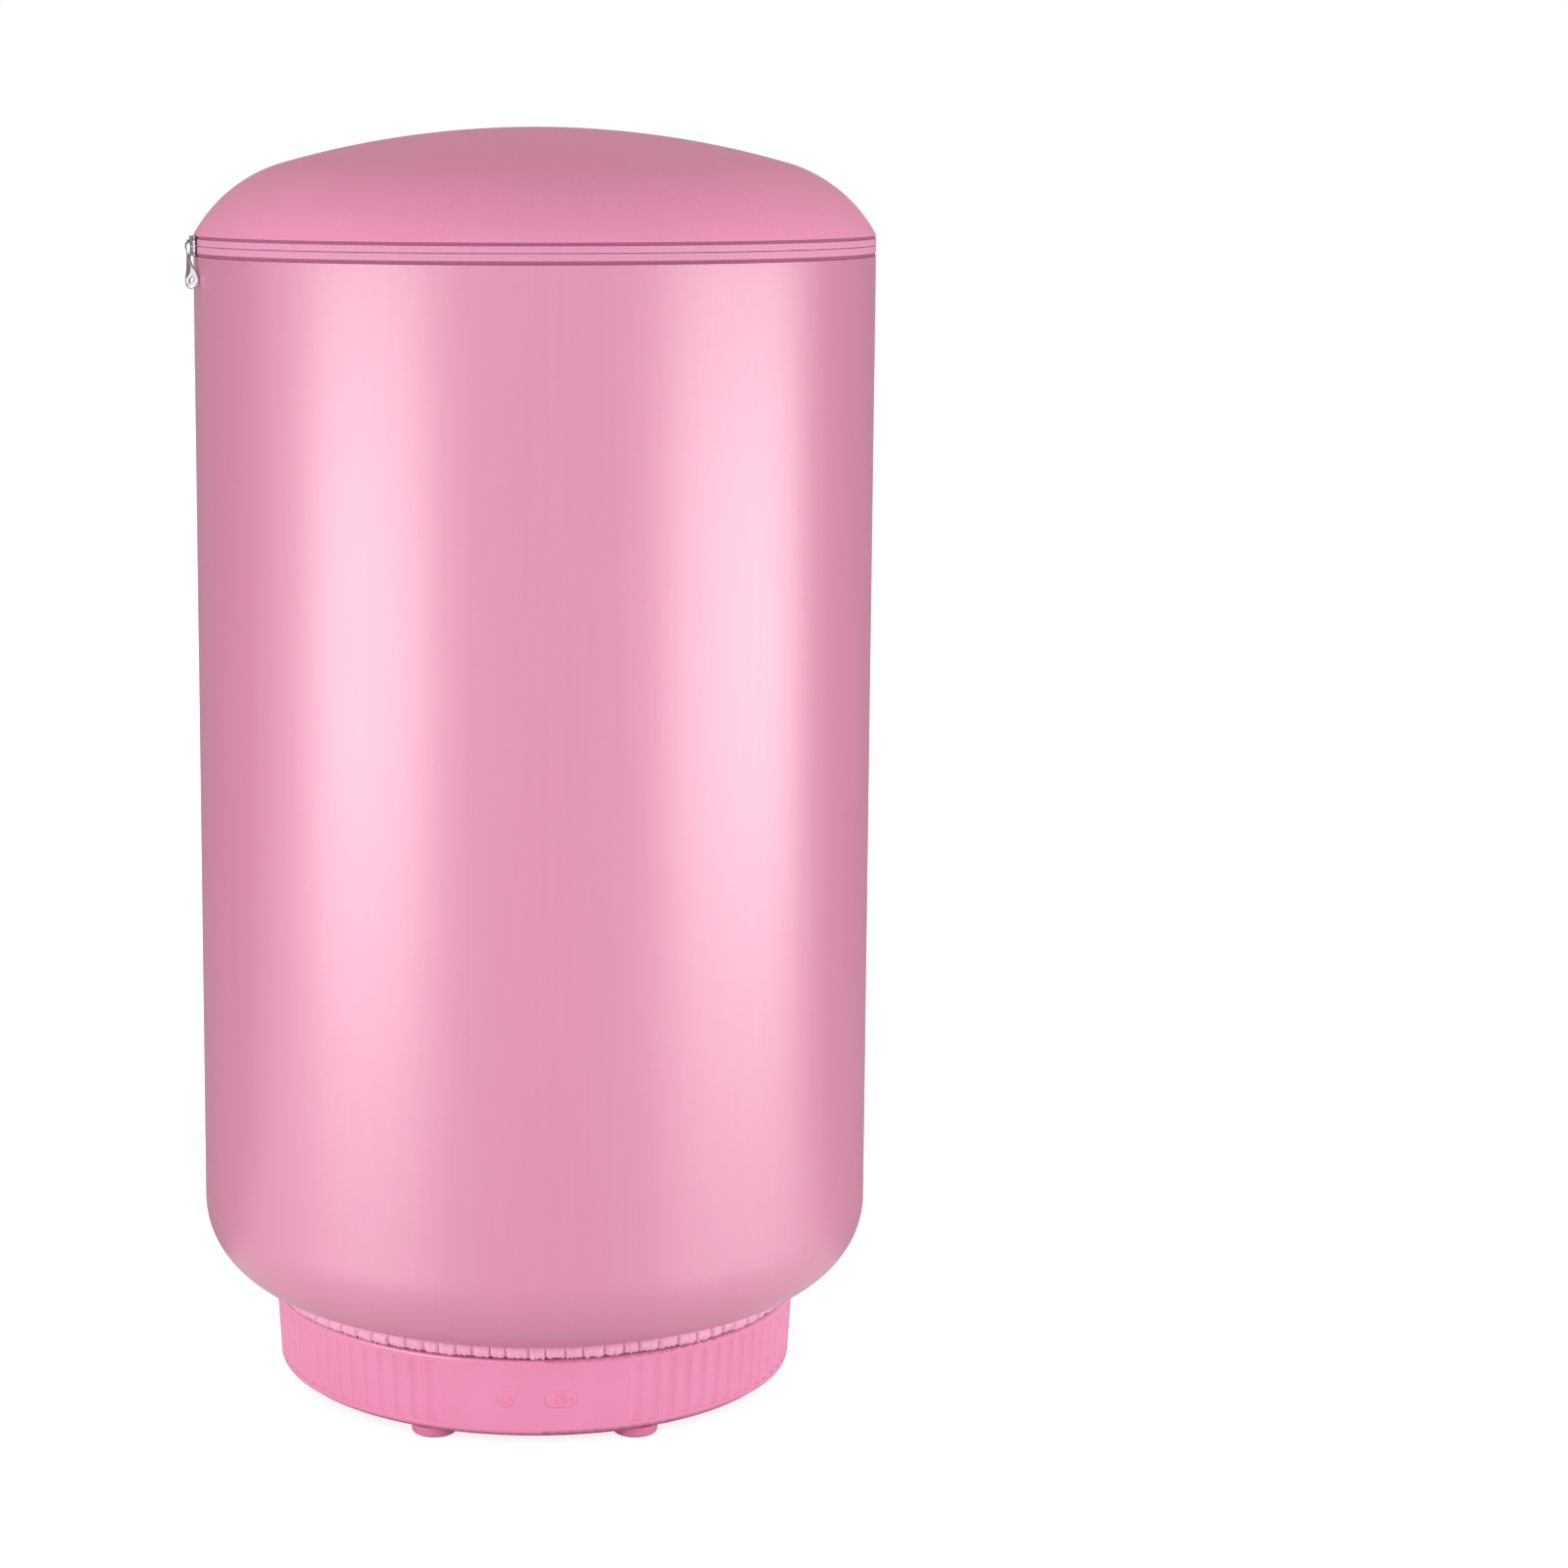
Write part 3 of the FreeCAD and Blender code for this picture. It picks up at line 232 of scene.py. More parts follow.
def push_cap(node, body, half, size):
    """A cap with a rounded rim whose front follows the panel; half is half its straight part."""
    low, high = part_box(node)
    x, z = (low.x + high.x) / 2, (low.z + high.z) / 2
    turn = np.linspace(0, math.tau, 64, endpoint=False)
    across = np.sign(np.cos(turn)) * half + size * np.cos(turn)
    along = size * np.sin(turn)
    rows = []
    for share, proud in CAP_PROFILE:
        face_x, face_z = x + share * across, z + share * along
        rows.append(np.stack([face_x, panel(face_x, face_z, proud), face_z], axis=1))
    faces = ring_faces(len(rows), len(turn), capped=True)
    cap = new_piece(f"{node}_cap", rows, faces, [pink_cap])
    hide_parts(node)
    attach(cap, body)
    return x, z


def joined(*meshes):
    """Several sets of points and faces as one."""
    points, faces, first = [], [], 0
    for some_points, some_faces in meshes:
        points.append(some_points)
        faces += [[corner + first for corner in face] for face in some_faces]
        first += len(some_points)
    return np.concatenate(points), faces


INK_FOOT, INK_TOP = 0.00015, 0.00025  # proud of the panel: the ink stands 0.05 mm off a cap
STROKE = 0.0006  # width of a printed line


def printed_mark(name, strokes, body):
    """Ink on a cap; a stroke is its two sides, as lists of x and z."""
    meshes = []
    for left, right in strokes:
        rows = [
            [(x, panel(x, z, proud), z) for x, z in side]
            for side, proud in (
                (left, INK_TOP), (left, INK_FOOT), (right, INK_FOOT), (right, INK_TOP),
            )
        ]
        count = len(left)
        faces = ring_faces(4, count, closed=True, full=False)
        faces += [[row * count + end for row in range(4)] for end in (0, count - 1)]
        meshes.append((np.array(rows, float).reshape(-1, 3), faces))
    piece = new_piece(name, *joined(*meshes), [coral_ink], smooth=20)
    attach(piece, body)


def arc_stroke(x, z, size, start, end):
    """A line bent round x and z, from one angle to another in degrees."""
    angles = np.radians(np.linspace(start, end, 41))
    return [
        [(x + reach * math.cos(a), z + reach * math.sin(a)) for a in angles]
        for reach in (size - STROKE / 2, size + STROKE / 2)
    ]


def bar_stroke(start, end):
    """A straight line between two places."""
    step = Vector(end) - Vector(start)
    aside = Vector((-step.y, step.x)).normalized() * STROKE / 2
    return [[tuple(Vector(at) + aside * side) for at in (start, end)] for side in (1, -1)]


x, z = push_cap("power_button", "power_key", 0.0, 0.0040)
printed_mark(
    "power_mark",
    [arc_stroke(x, z, 0.0021, 125, 415), bar_stroke((x, z + 0.0006), (x, z + 0.0029))],
    "power_key",
)
x, z = push_cap("timer_button", "timer_key", 0.0035, 0.0040)
printed_mark(
    "timer_mark",
    [
        arc_stroke(x, z, 0.0023, 0, 360),
        bar_stroke((x, z - 0.0002), (x, z + 0.0014)),  # hands
        bar_stroke((x - 0.0002, z), (x + 0.0013, z)),
        bar_stroke((x - 0.0058, z), (x - 0.0042, z)),  # less
        bar_stroke((x + 0.0042, z), (x + 0.0058, z)),  # more
        bar_stroke((x + 0.0050, z - 0.0008), (x + 0.0050, z + 0.0008)),
    ],
    "timer_key",
)

# ---- Mains inlet
# A figure-eight inlet in black flame-retardant nylon, pressed into the boss at the back, with
# two nickel-plated brass pins. The heater's thermal cut-out is in the same nylon.


def metal(name, colour, roughness, grain=None, depth=0.01):
    """Bare or plated metal, with a grain in millimetres where its making leaves one."""
    finish = new_finish(name, roughness, colour, Metallic=1.0)
    if grain:
        grained(finish, add(finish, "TexCoord")["Object"], grain, depth)
    return finish


# a dull black, finely grained like the shell
black_nylon = moulded("black_flame_retardant_nylon", "232327", "2e2e33", 0.5, 0.3, 0.02)
finish_node(black_nylon, "inlet_socket", "thermal_cutout")
# the brass warms the nickel over it
pin_metal = metal("nickel_plated_brass", "c9b98f", 0.28)
finish_node(pin_metal, "inlet_pins")

# ---- Fan and heater
# A brushless fan in glass-filled nylon stands under a stamped aluminium PTC heater. They show
# only through the grille and the air slots.

# glass fibre leaves the nylon bone white and dull
fan_nylon = moulded("glass_filled_nylon", "dcd9d2", "e8e5de", 0.55, 0.4, 0.03)
finish_node(fan_nylon, "fan_frame", "impeller", "heater_frame")
# rolled sheet, stamped into fins: a soft grey shine
fin_aluminium = metal("stamped_aluminium", "c6c8ca", 0.42, 0.45, 0.02)
finish_node(fin_aluminium, "heater_element")
# zinc over drawn steel: a cloudy, darker grey
steel_can = metal("zinc_plated_steel_can", "a9abb0", 0.35, 0.6)
finish_node(steel_can, "fan_motor", "motor_shaft")

# ---- Outlet grille
# A white polypropylene grille drops into the deck; the socket for the pole is moulded with it.
# Polypropylene lets a little light in, which softens its white.

white_polypropylene = moulded(
    "white_moulded_polypropylene", "ece8e8", "f5f2f2", 0.45, 0.45, 0.03,
    Subsurface_Weight=0.05, Subsurface_Scale=0.002,
)
finish_node(white_polypropylene, "outlet_grille")

# ---- Underside
# The bottom pan is the same pink ABS with a coarser grain. Four screws and an air filter are
# inside its slots, and six soft rubber feet are pushed into it by their pegs.

# the coarser grain makes the pan duller than the shell; its colour is painted darker than the
# shell's, as painted shade
pan_abs = moulded("pink_pan_abs", "c4738f", "cd7c9a", 0.55, 0.55, 0.05)
finish_node(pan_abs, "lower_shell")
# open cells swallow the light: a dark, pitted grey
filter_foam = moulded("open_cell_filter", "4b4c50", "5c5d61", 0.9, 0.8, 0.4)
finish_node(filter_foam, "intake_filter")
# zinc plating: a cool mid grey with a clean shine
screw_steel = metal("zinc_plated_screw", "9b9da1", 0.3)
finish_node(screw_steel, "case_screws")
# rubber takes a fine matt skin from its mould
soft_rubber = moulded("soft_pink_rubber", "dd7ba2", "e484aa", 0.6, 0.5, 0.03)
finish_node(soft_rubber, *(f"foot_{number}" for number in range(1, 7)))

# ---- Pole and hanger arms
# Three drawn steel tubes slide in one another and are plated; collars, hub and arms are white
# polypropylene. The arms fold down on steel pins.

# streaks to a metre round and up a tube; real ones are 0.3 mm apart, drawn at 1.1 mm to show
STREAKS = (900.0, 900.0, 6.0)

# bright plating over the drawing marks: a near mirror with long fine streaks
plated_tube = metal("bright_plated_steel_tube", "d7d8da", 0.18)
drawn = add(
    plated_tube, "Mapping",
    {"Vector": add(plated_tube, "TexCoord")["Object"], "Scale": STREAKS},
)
draw_lines = add(plated_tube, "TexNoise", {"Vector": drawn["Vector"], "Scale": 1.0})
draw_bump = add(plated_tube, "Bump", {"Height": draw_lines["Fac"], "Distance": 0.00001})
wire(plated_tube, draw_bump["Normal"], "Normal")
finish_node(plated_tube, "lower_pole", "middle_pole", "upper_pole")
finish_node(
    white_polypropylene,
    "lower_bush", "middle_bush", "arm_hub", *(f"arm_{number}" for number in range(1, 7)),
)
finish_node(screw_steel, "arm_pins")

# ---- Barrel cloth
# Satin-woven nylon with a pearl coating outside and a duller proofed lining inside. The wall
# is held taut between the hoops and the bowl is drawn in under the lip of the base.

THREAD = 0.8  # millimetres; real threads are 0.25 mm apart, drawn coarser so that they show
SEAM_THREAD = 0.9  # likewise, for the threads of a sewn edge
WARP = 0.004  # width of a bundle of warp threads that took the dye alike, in metres
WARP_RUN = 0.04  # its pattern is drawn out 25 times along the warp


def woven(name, low, high, roughness, thread, depth, **inputs):
    """Cloth whose threads cross at a given spacing and depth, in millimetres, laid flat."""
    finish = new_finish(name, roughness, **inputs)
    flat = add(finish, "UVMap", uv_map="cloth")["UV"]
    warp = add(finish, "Mapping", {"Vector": flat, "Scale": (1.0, WARP_RUN, 1.0)})["Vector"]
    mottled(finish, warp, low, high, WARP, roughness)
    threads = []
    for turn in (0.0, math.pi / 2):
        turned_flat = add(
            finish, "Mapping", {"Vector": flat, "Rotation": (0.0, 0.0, turn)}
        )["Vector"]
        threads.append(add(
            finish, "TexWave",  # at scale 1 its waves are tau / 20 apart
            {"Vector": turned_flat, "Scale": 1000 / thread / 20 * math.tau, "Distortion": 0.6,
             "Detail": 1.0, "Detail Scale": 2.0},
        )["Fac"])
    crossing = add(finish, "Math", {0: threads[0], 1: threads[1]}, operation="MULTIPLY")[0]
    bump = add(finish, "Bump", {"Height": crossing, "Distance": depth / 1000, "Strength": 1.0})
    wire(finish, bump["Normal"], "Normal")
    return finish


def gridded(name, points, finishes, bands=None, full=True, smooth=35.0):
    """A closed mesh from rows of points, with a UV layer that is the cloth laid flat, in metres."""
    rows, wide = points.shape[:2]
    reach = float(np.hypot(points[..., 0], points[..., 1]).max())
    spread = np.unwrap(np.arctan2(points[0, :, 1], points[0, :, 0]))
    turn = math.tau if full else abs(spread[-1] - spread[0])
    around = np.linspace(0, 1, wide + (1 if full else 0)) * turn * reach
    steps = np.linalg.norm(np.diff(points[:, 0], axis=0, append=points[:1, 0]), axis=1)
    along = np.concatenate([[0], np.cumsum(steps)])
    faces = ring_faces(rows, wide, closed=True, full=full)
    indices, uvs = [], []
    for i in range(rows):
        for j in range(wide if full else wide - 1):
            indices.append(bands[i] if bands else 0)
            uvs += [(around[j], along[i]), (around[j + 1], along[i]),
                    (around[j + 1], along[i + 1]), (around[j], along[i + 1])]
    if not full:
        for j, order in ((0, -1), (wide - 1, 1)):
            faces.append([i * wide + j for i in range(rows)][::order])
            indices.append(bands[-1])
            uvs += [(0.0, 0.0)] * rows
    return new_piece(name, points, faces, finishes, indices, uvs, smooth)


def turned(name, stretches, start=0.0, sweep=360.0, columns=360, smooth=35.0):
    """Turns a closed profile about the barrel's axis, through a sweep in degrees. Each stretch of
    it is a finish and a list of (radius, height) in metres."""
    finishes = list(dict.fromkeys(finish for finish, _ in stretches))
    bands = [finishes.index(finish) for finish, places in stretches for _ in places]
    profile = np.array([place for _, places in stretches for place in places], float)
    full = sweep >= 360.0
    angles = np.radians(start + np.linspace(0, sweep, columns + 1))
    if full:
        angles = angles[:-1]
    points = np.zeros((len(profile), len(angles), 3))
    points[..., 0] = profile[:, :1] * np.cos(angles)
    points[..., 1] = profile[:, :1] * np.sin(angles)
    points[..., 2] = profile[:, 1:]
    return gridded(name, points, finishes, bands, full, smooth)


def line(start, end, steps):
    """Evenly spaced points from start to just before end."""
    return [
        (start[0] + (end[0] - start[0]) * i / steps, start[1] + (end[1] - start[1]) * i / steps)
        for i in range(steps)
    ]


def curve(centre, radius, start, end, steps):
    """Points on an arc, from one angle to just before the other, in degrees."""
    angles = np.radians(np.linspace(start, end, steps + 1)[:-1])
    return [(centre[0] + radius * math.cos(a), centre[1] + radius * math.sin(a)) for a in angles]


# a satin's long threads stretch each highlight up the barrel, and its pearl coat softens it
satin = woven(
    "pearl_coated_satin_nylon", "db7ea4", "e084a9", 0.40, THREAD, 0.03,
    Specular_IOR_Level=1.0, Anisotropic=0.8, Anisotropic_Rotation=0.25,
    Coat_Weight=1.0, Coat_IOR=1.8, Coat_Roughness=0.4,
)
# proofing fills the weave and dulls it
lining = woven("proofed_nylon_lining", "dd8aac", "e493b4", 0.7, THREAD, 0.04)
# needle and thread pucker the edge; its colour is painted darker, as painted shade in the pucker
seam_weave = woven("stitched_seam", "b5668a", "bd6e92", 0.7, SEAM_THREAD, 0.06)
# spun polyester: a soft shine
sewing_thread = new_finish("polyester_sewing_thread", 0.55, "c4739a")

wall_low, wall_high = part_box("barrel_wall")
radius = wall_high.x
CLOTH = 0.0009  # nylon and lining together
wall_outside = line((radius, wall_low.z), (radius, wall_high.z - 0.0004), 90) + [
    (radius - 0.0001, wall_high.z - 0.0001)
]
wall_inside = [
    (radius - CLOTH / 2, wall_high.z), (radius - CLOTH, wall_high.z - 0.0002)
] + line((radius - CLOTH, wall_high.z - 0.0006), (radius - CLOTH, wall_low.z), 40)
wall = turned("barrel_wall_cloth", [(satin, wall_outside), (lining, wall_inside)])
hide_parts("barrel_wall")

# the cloth's two ends are lapped and stitched down at the back
LAP = 0.0004  # how far the upper end stands out from the wall
LAP_HALF = 1.5  # half its width, in degrees
back_seam = turned(
    "back_seam",
    [(satin,
      line((radius + LAP, wall_low.z), (radius + LAP, wall_high.z - 0.0005), 90)
      + line((radius - 0.0001, wall_high.z - 0.0005), (radius - 0.0001, wall_low.z), 90))],
    90 - LAP_HALF, 2 * LAP_HALF, 10,
)

STITCH = 0.0030  # length of a lock stitch
SEWING = 0.00025  # radius of the sewing thread
THREAD_SIDES = 6  # of a thread's rings


def stitches(name, places, out):
    """Short threads laid end to end along a line of places, lying on the side that faces out."""
    places, out = np.asarray(places, float), np.asarray(out, float)
    steps = np.linalg.norm(np.diff(places, axis=0), axis=1)
    run = np.concatenate([[0], np.cumsum(steps)])
    count = max(1, round(run[-1] / STITCH))
    rings = np.array([0.08, 0.2, 0.5, 0.8, 0.92])  # along one stitch, fullest in its middle
    size = SEWING * np.array([0.35, 0.85, 1.0, 0.85, 0.35])
    at = ((np.arange(count)[:, None] + rings) / count * run[-1]).ravel()
    middle, away, along = (
        np.stack([np.interp(at, run, column) for column in values.T], axis=1)
        for values in (places, out, np.gradient(places, run, axis=0))
    )
    aside = np.cross(along, away)
    turn = np.arange(THREAD_SIDES) * math.tau / THREAD_SIDES
    reach = np.tile(size, count)[:, None, None]
    points = middle[:, None] + away[:, None] * 0.4 * reach + reach * (
        away[:, None] * np.cos(turn)[:, None] + aside[:, None] * np.sin(turn)[:, None]
    )
    one = ring_faces(len(rings), THREAD_SIDES, capped=True)
    size_of_one = len(rings) * THREAD_SIDES
    faces = [
        [number * size_of_one + corner for corner in face]
        for number in range(count) for face in one
    ]
    return new_piece(name, points, faces, [sewing_thread], smooth=180)


def upright_row(side):
    """Places and directions of a row of stitches up the back, side metres from its middle."""
    heights = np.linspace(wall_low.z + 0.001, wall_high.z - 0.001, 80)
    depth = math.sqrt((radius + LAP) ** 2 - side ** 2)
    return [(side, depth, height) for height in heights], [(0.0, 1.0, 0.0)] * len(heights)


seam_rows = [
    stitches(f"back_seam_thread_{number}", *upright_row(side))
    for number, side in enumerate((-0.0028, 0.0028), start=1)
]
for piece in (wall, back_seam, *seam_rows):
    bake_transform(piece)

bowl_low, bowl_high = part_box("barrel_bowl")
BEND = 0.038  # radius of the bowl's round edge
MOUTH = 0.1213  # radius of the mouth that is gathered round the base
turn_at = (radius - BEND, bowl_high.z)
bowl_outside = line((MOUTH, bowl_low.z), (turn_at[0], bowl_low.z), 2) + curve(
    turn_at, BEND, -90, 0, 40
)
bowl_inside = [(radius, bowl_high.z), (radius - CLOTH, bowl_high.z)]
bowl_inside += curve(turn_at, BEND - CLOTH, -2, -90, 30)
bowl_inside += [(turn_at[0], bowl_low.z + CLOTH), (MOUTH, bowl_low.z + CLOTH)]
bowl = turned("barrel_bowl_cloth", [(satin, bowl_outside), (lining, bowl_inside)])
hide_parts("barrel_bowl")
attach(bowl, "base")

# ---- Gathered frill
# The bowl's elastic sits in a groove of the base, and its nylon is gathered over it four to
# three, so the hem below stands out in short blocky puffs of uneven width.

PUFF = 0.0088  # mean width of a puff
PUFF_STEPS = 12  # points along a puff
PUFF_DEPTH = 0.0022  # how far a puff stands out from the elastic
FREE_EDGE = 0.004  # below this distance from the top, the hem hangs loose


def frill_points():
    """Rows of points round the hem: each puff is full in the middle and pinched at its ends."""
    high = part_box("elastic_hem")[1]
    chance = np.random.default_rng(7)
    count = round(math.tau * high.x / PUFF)
    widths = 1 + 0.45 * (chance.random(count) - 0.5)  # up to a quarter wider or narrower
    ends = np.concatenate([[0], np.cumsum(widths)]) / widths.sum()
    waves, phase, hang = chance.random((count, 3, 1)).transpose(1, 0, 2)
    step = np.arange(PUFF_STEPS) / PUFF_STEPS
    angle = (ends[:-1, None] + np.diff(ends)[:, None] * step).ravel() * math.tau
    ripple = np.sin(math.tau * (2 + 2 * waves) * step + 6 * phase)
    fullness = (1 - abs(2 * step - 1) ** 7) * (1 + 0.16 * ripple)  # blocky, faintly rippled
    drop = 0.0007 * hang + 0.0006 * (1 - fullness) + 0.0009 * chance.random((count, PUFF_STEPS))
    fullness, drop = fullness.ravel(), drop.ravel()
    elastic = high.x - PUFF_DEPTH
    rows = []
    for share, below in (  # from the free edge, round the puff and up to the elastic
        (0.25, 0.0064), (0.58, 0.0061), (0.84, 0.0052), (0.97, 0.0042), (1.0, 0.0030),
        (0.90, 0.0019), (0.60, 0.0009), (0.35, 0.0),
    ):
        reach = elastic + PUFF_DEPTH * share * np.clip(0.12 + 0.88 * fullness, 0, 1)
        height = high.z - below + (drop if below > FREE_EDGE else 0 * drop)
        rows.append(np.stack([reach * np.cos(angle), reach * np.sin(angle), height], axis=1))
    for reach, below in ((MOUTH, 0.0), (MOUTH, 0.0012), (elastic + 0.0001, 0.0015)):
        height = np.full(len(angle), high.z - below)
        rows.append(np.stack([reach * np.cos(angle), reach * np.sin(angle), height], axis=1))
    return np.array(rows)


# the same nylon without its pearl coat, so the puffs are duller; their colour is painted paler than
# the satin's, a painted light that lifts them out of the shade under the bowl
frill_cloth = woven("gathered_nylon", "f2a8c8", "ffc8df", 0.5, THREAD, 0.04)
frill = gridded("gathered_frill", frill_points(), [frill_cloth], smooth=80)
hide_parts("elastic_hem")
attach(frill, "base")

# ---- Zip
# A polyester coil zip, sewn in with its coil inside, so its tapes show as one smooth band. Each
# tape's edge is turned under the cloth and held by a row of dark lock stitches in the seam.

# woven flat and unproofed: a little paler and duller than the satin beside it
tape_weave = woven("woven_polyester_tape", "e295b7", "e99cbd", 0.55, 1.1, 0.06)
# nylon monofilament, extruded and wound: a clean soft shine
nylon_coil = new_finish("extruded_nylon_coil", 0.35, "eba9cb")

lower_low, lower_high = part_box("zip_tape_lower")
upper_low, upper_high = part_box("zip_tape_upper")
ZIP = (lower_high.z + upper_low.z) / 2  # height of the closed zip
END = 28.0  # half the angle behind the lid that the zip leaves free
SEAM = 0.0015  # width of a tape's stitched edge
zip_length = math.radians(360 - 2 * END) * radius


def seam_edge(edge, inward):
    """Outline of a tape's stitched edge, sunk between cloth and tape; inward is up or down."""
    return [
        (radius - 0.0001, edge), (radius - 0.0007, edge + inward * 0.0002),
        (radius - 0.0007, edge + inward * (SEAM - 0.0002)),
        (radius - 0.00005, edge + inward * SEAM), (radius, edge + inward * (SEAM + 0.0003)),
    ]


def zip_band(name, edge, middle, node, body):
    """One tape: its stitched edge and a woven band up to the closed middle."""
    inward = 1 if middle > edge else -1
    sewn = seam_edge(edge, inward)
    band = [
        (radius, middle - inward * 0.0004), (radius - 0.00006, middle - inward * 0.0001),
        (radius - 0.0002, middle), (radius - 0.001, middle), (radius - 0.001, edge),
    ]
    piece = turned(
        name, [(seam_weave, sewn[:3]), (tape_weave, sewn[3:] + band)],
        90 + END, 360 - 2 * END, 304, smooth=50,
    )
    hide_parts(node)
    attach(piece, body)
    return piece


def level_row(reach, height):
    """Places and directions of a row of stitches round the barrel."""
    angles = np.radians(np.linspace(0, 360, 720))
    out = np.stack([np.cos(angles), np.sin(angles), 0 * angles], axis=1)
    return out * reach + (0.0, 0.0, height), out


COIL_PITCH = 0.002  # real pitch 1.3 mm, drawn at 2 mm
COIL_RADIUS = 0.00035
FILAMENT = 0.0002  # radius of the monofilament
COIL_DEPTH = 0.00145  # how far inside the tapes' face the coil's middle lies


def coil(name, height, body):
    """Half of the zip's coil: a fine nylon spring along the inside of one tape's edge."""
    turns = round(zip_length / COIL_PITCH)
    t = np.linspace(0, 1, turns * 8 + 1)
    spin = t * turns * math.tau
    angles = np.radians(90 + END + t * (360 - 2 * END))
    out = np.stack([np.cos(angles), np.sin(angles), 0 * angles], axis=1)
    up = np.array([0.0, 0.0, 1.0])
    swing = out * np.cos(spin)[:, None] + up * np.sin(spin)[:, None]
    places = out * (radius - COIL_DEPTH) + up * height + COIL_RADIUS * swing
    along = np.gradient(places, axis=0)
    along /= np.linalg.norm(along, axis=1)[:, None]
    aside = np.cross(along, swing)
    turn = np.arange(4) * math.tau / 4  # four sides are enough for a filament this fine
    points = places[:, None] + FILAMENT * (
        swing[:, None] * np.cos(turn)[:, None] + aside[:, None] * np.sin(turn)[:, None]
    )
    faces = ring_faces(len(t), len(turn), capped=True)
    piece = new_piece(name, points, faces, [nylon_coil], smooth=180)
    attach(piece, body)
    return piece


for level, edge, middle, node, body in (
    ("lower", lower_low.z - 0.0002, ZIP - 0.0001, "zip_tape_lower", "upper_frame"),
    ("upper", upper_high.z, ZIP + 0.0001, "zip_tape_upper", "lid"),
):
    inward = 1 if middle > edge else -1
    tape = zip_band(f"zip_band_{level}", edge, middle, node, body)
    thread = stitches(
        f"zip_thread_{level}", *level_row(radius - 0.0007, edge + inward * SEAM / 2)
    )
    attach(thread, body)
    half_coil = coil(f"zip_coil_{level}", middle - inward * 0.0004, body)

# ---- Lid
# The domed lid is the same nylon, heat-set over a thin foam so that it keeps its crown. The
# heat takes most of the satin's gloss, and the inside is lined like the wall.

# its colour is painted lighter than the wall's nylon: painted light on the crown, which gets less
# light from above
lid_nylon_painted_lighter = woven(
    "heat_set_nylon_painted_lighter", "f491b7", "fa98bd", 0.55, THREAD, 0.03,
    Specular_IOR_Level=0.8, Coat_Weight=0.5, Coat_Roughness=0.5,
)

# a flat crown runs without a corner into a tighter arc, which is the shoulder above the zip
dome_low, dome_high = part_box("lid_dome")
CROWN_RADIUS, CROWN_HALF = 0.430, 0.118
crown_sine = CROWN_HALF / CROWN_RADIUS
crown_cosine = math.sqrt(1 - crown_sine * crown_sine)
crown_at = (0.0, dome_high.z - CROWN_RADIUS)
crown_end = dome_high.z - CROWN_RADIUS * (1 - crown_cosine)
run, rise = radius - CROWN_HALF, crown_end - dome_low.z
shoulder = (run * run + rise * rise) / (2 * (rise * crown_cosine - run * crown_sine))
shoulder_at = (CROWN_HALF - crown_sine * shoulder, crown_end - crown_cosine * shoulder)
shoulder_start = math.degrees(math.asin((dome_low.z - shoulder_at[1]) / shoulder))
shoulder_end = math.degrees(math.acos(crown_sine))
TIP = 0.0003  # radius of the pinhole where the rows meet
dome_outside = curve(shoulder_at, shoulder, shoulder_start, shoulder_end, 36)
dome_outside += curve(crown_at, CROWN_RADIUS, shoulder_end, 90 - 0.05, 40)
dome_inside = [(TIP, dome_high.z), (TIP, dome_high.z - CLOTH)]
dome_inside += curve(crown_at, CROWN_RADIUS - CLOTH, 90 - 0.1, shoulder_end, 30)
dome_inside += curve(shoulder_at, shoulder - CLOTH, shoulder_end, shoulder_start + 0.4, 30)
dome = turned("lid_dome_cloth", [(lid_nylon_painted_lighter, dome_outside), (lining, dome_inside)])
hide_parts("lid_dome")
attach(dome, "lid")

# ---- Hinge strip
# Behind the zip's two ends the cloth runs on without a cut, as a sewn strip of the zip's tape
# that the lid bends back on.

strip_half = END - 0.15  # in degrees, a little short of the zip's ends
strip_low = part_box("hinge_strip_lower")[0].z
strip_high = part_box("hinge_strip_upper")[1].z
lower_edge = seam_edge(strip_low, 1)
upper_edge = seam_edge(strip_high, -1)[::-1]
CLEAR = SEAM + 0.0007  # from the strip's edge to its plain middle
strip_outside = line((radius, strip_low + CLEAR), (radius, strip_high - CLEAR), 16)
strip_inside = line((radius - 0.0009, strip_high), (radius - 0.0009, strip_low), 24)
strip = turned(
    "hinge_strip",
    [(seam_weave, lower_edge[:3]), (tape_weave, lower_edge[3:] + strip_outside + upper_edge[:1]),
     (seam_weave, upper_edge[1:4]), (tape_weave, upper_edge[4:] + strip_inside)],
    90 - strip_half, 2 * strip_half, 60, smooth=50,
)
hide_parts("hinge_strip_lower", "hinge_strip_upper")
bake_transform(strip)

# ---- Hoops
# Hard-drawn spring steel wire, zinc plated and closed into rings. Each runs in a casing of lining
# cloth; the top one's casing is open over the six arms, which hook under the bare wire.

# zinc over drawn wire: a soft, slightly cloudy grey shine
hoop_wire = metal("zinc_plated_spring_steel", "b9b9bd", 0.32, 0.4)
finish_node(hoop_wire, "bottom_hoop", "top_hoop", "lid_hoop")


def casing(name, hoop, body, above, below, starts=(0.0,), sweep=360.0):
    """Cloth round the inner side of a hoop, sewn down above and below it."""
    low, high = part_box(hoop)
    wire_size = (high.z - low.z) / 2
    middle = (high.x - wire_size, (high.z + low.z) / 2)
    profile = (  # down the inner side of the wire, and back against it
        [above] + curve(middle, wire_size + 0.0005, 75, 285, 16)
        + [below, (below[0], below[1] + 0.0003)]
        + curve(middle, wire_size + 0.0001, 285, 75, 16) + [(above[0], above[1] - 0.0003)]
    )
    for number, start in enumerate(starts, start=1):
        piece = turned(
            f"{name}_{number}", [(lining, profile)], start, sweep, max(12, round(sweep / 3)),
            smooth=80,
        )
        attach(piece, body)


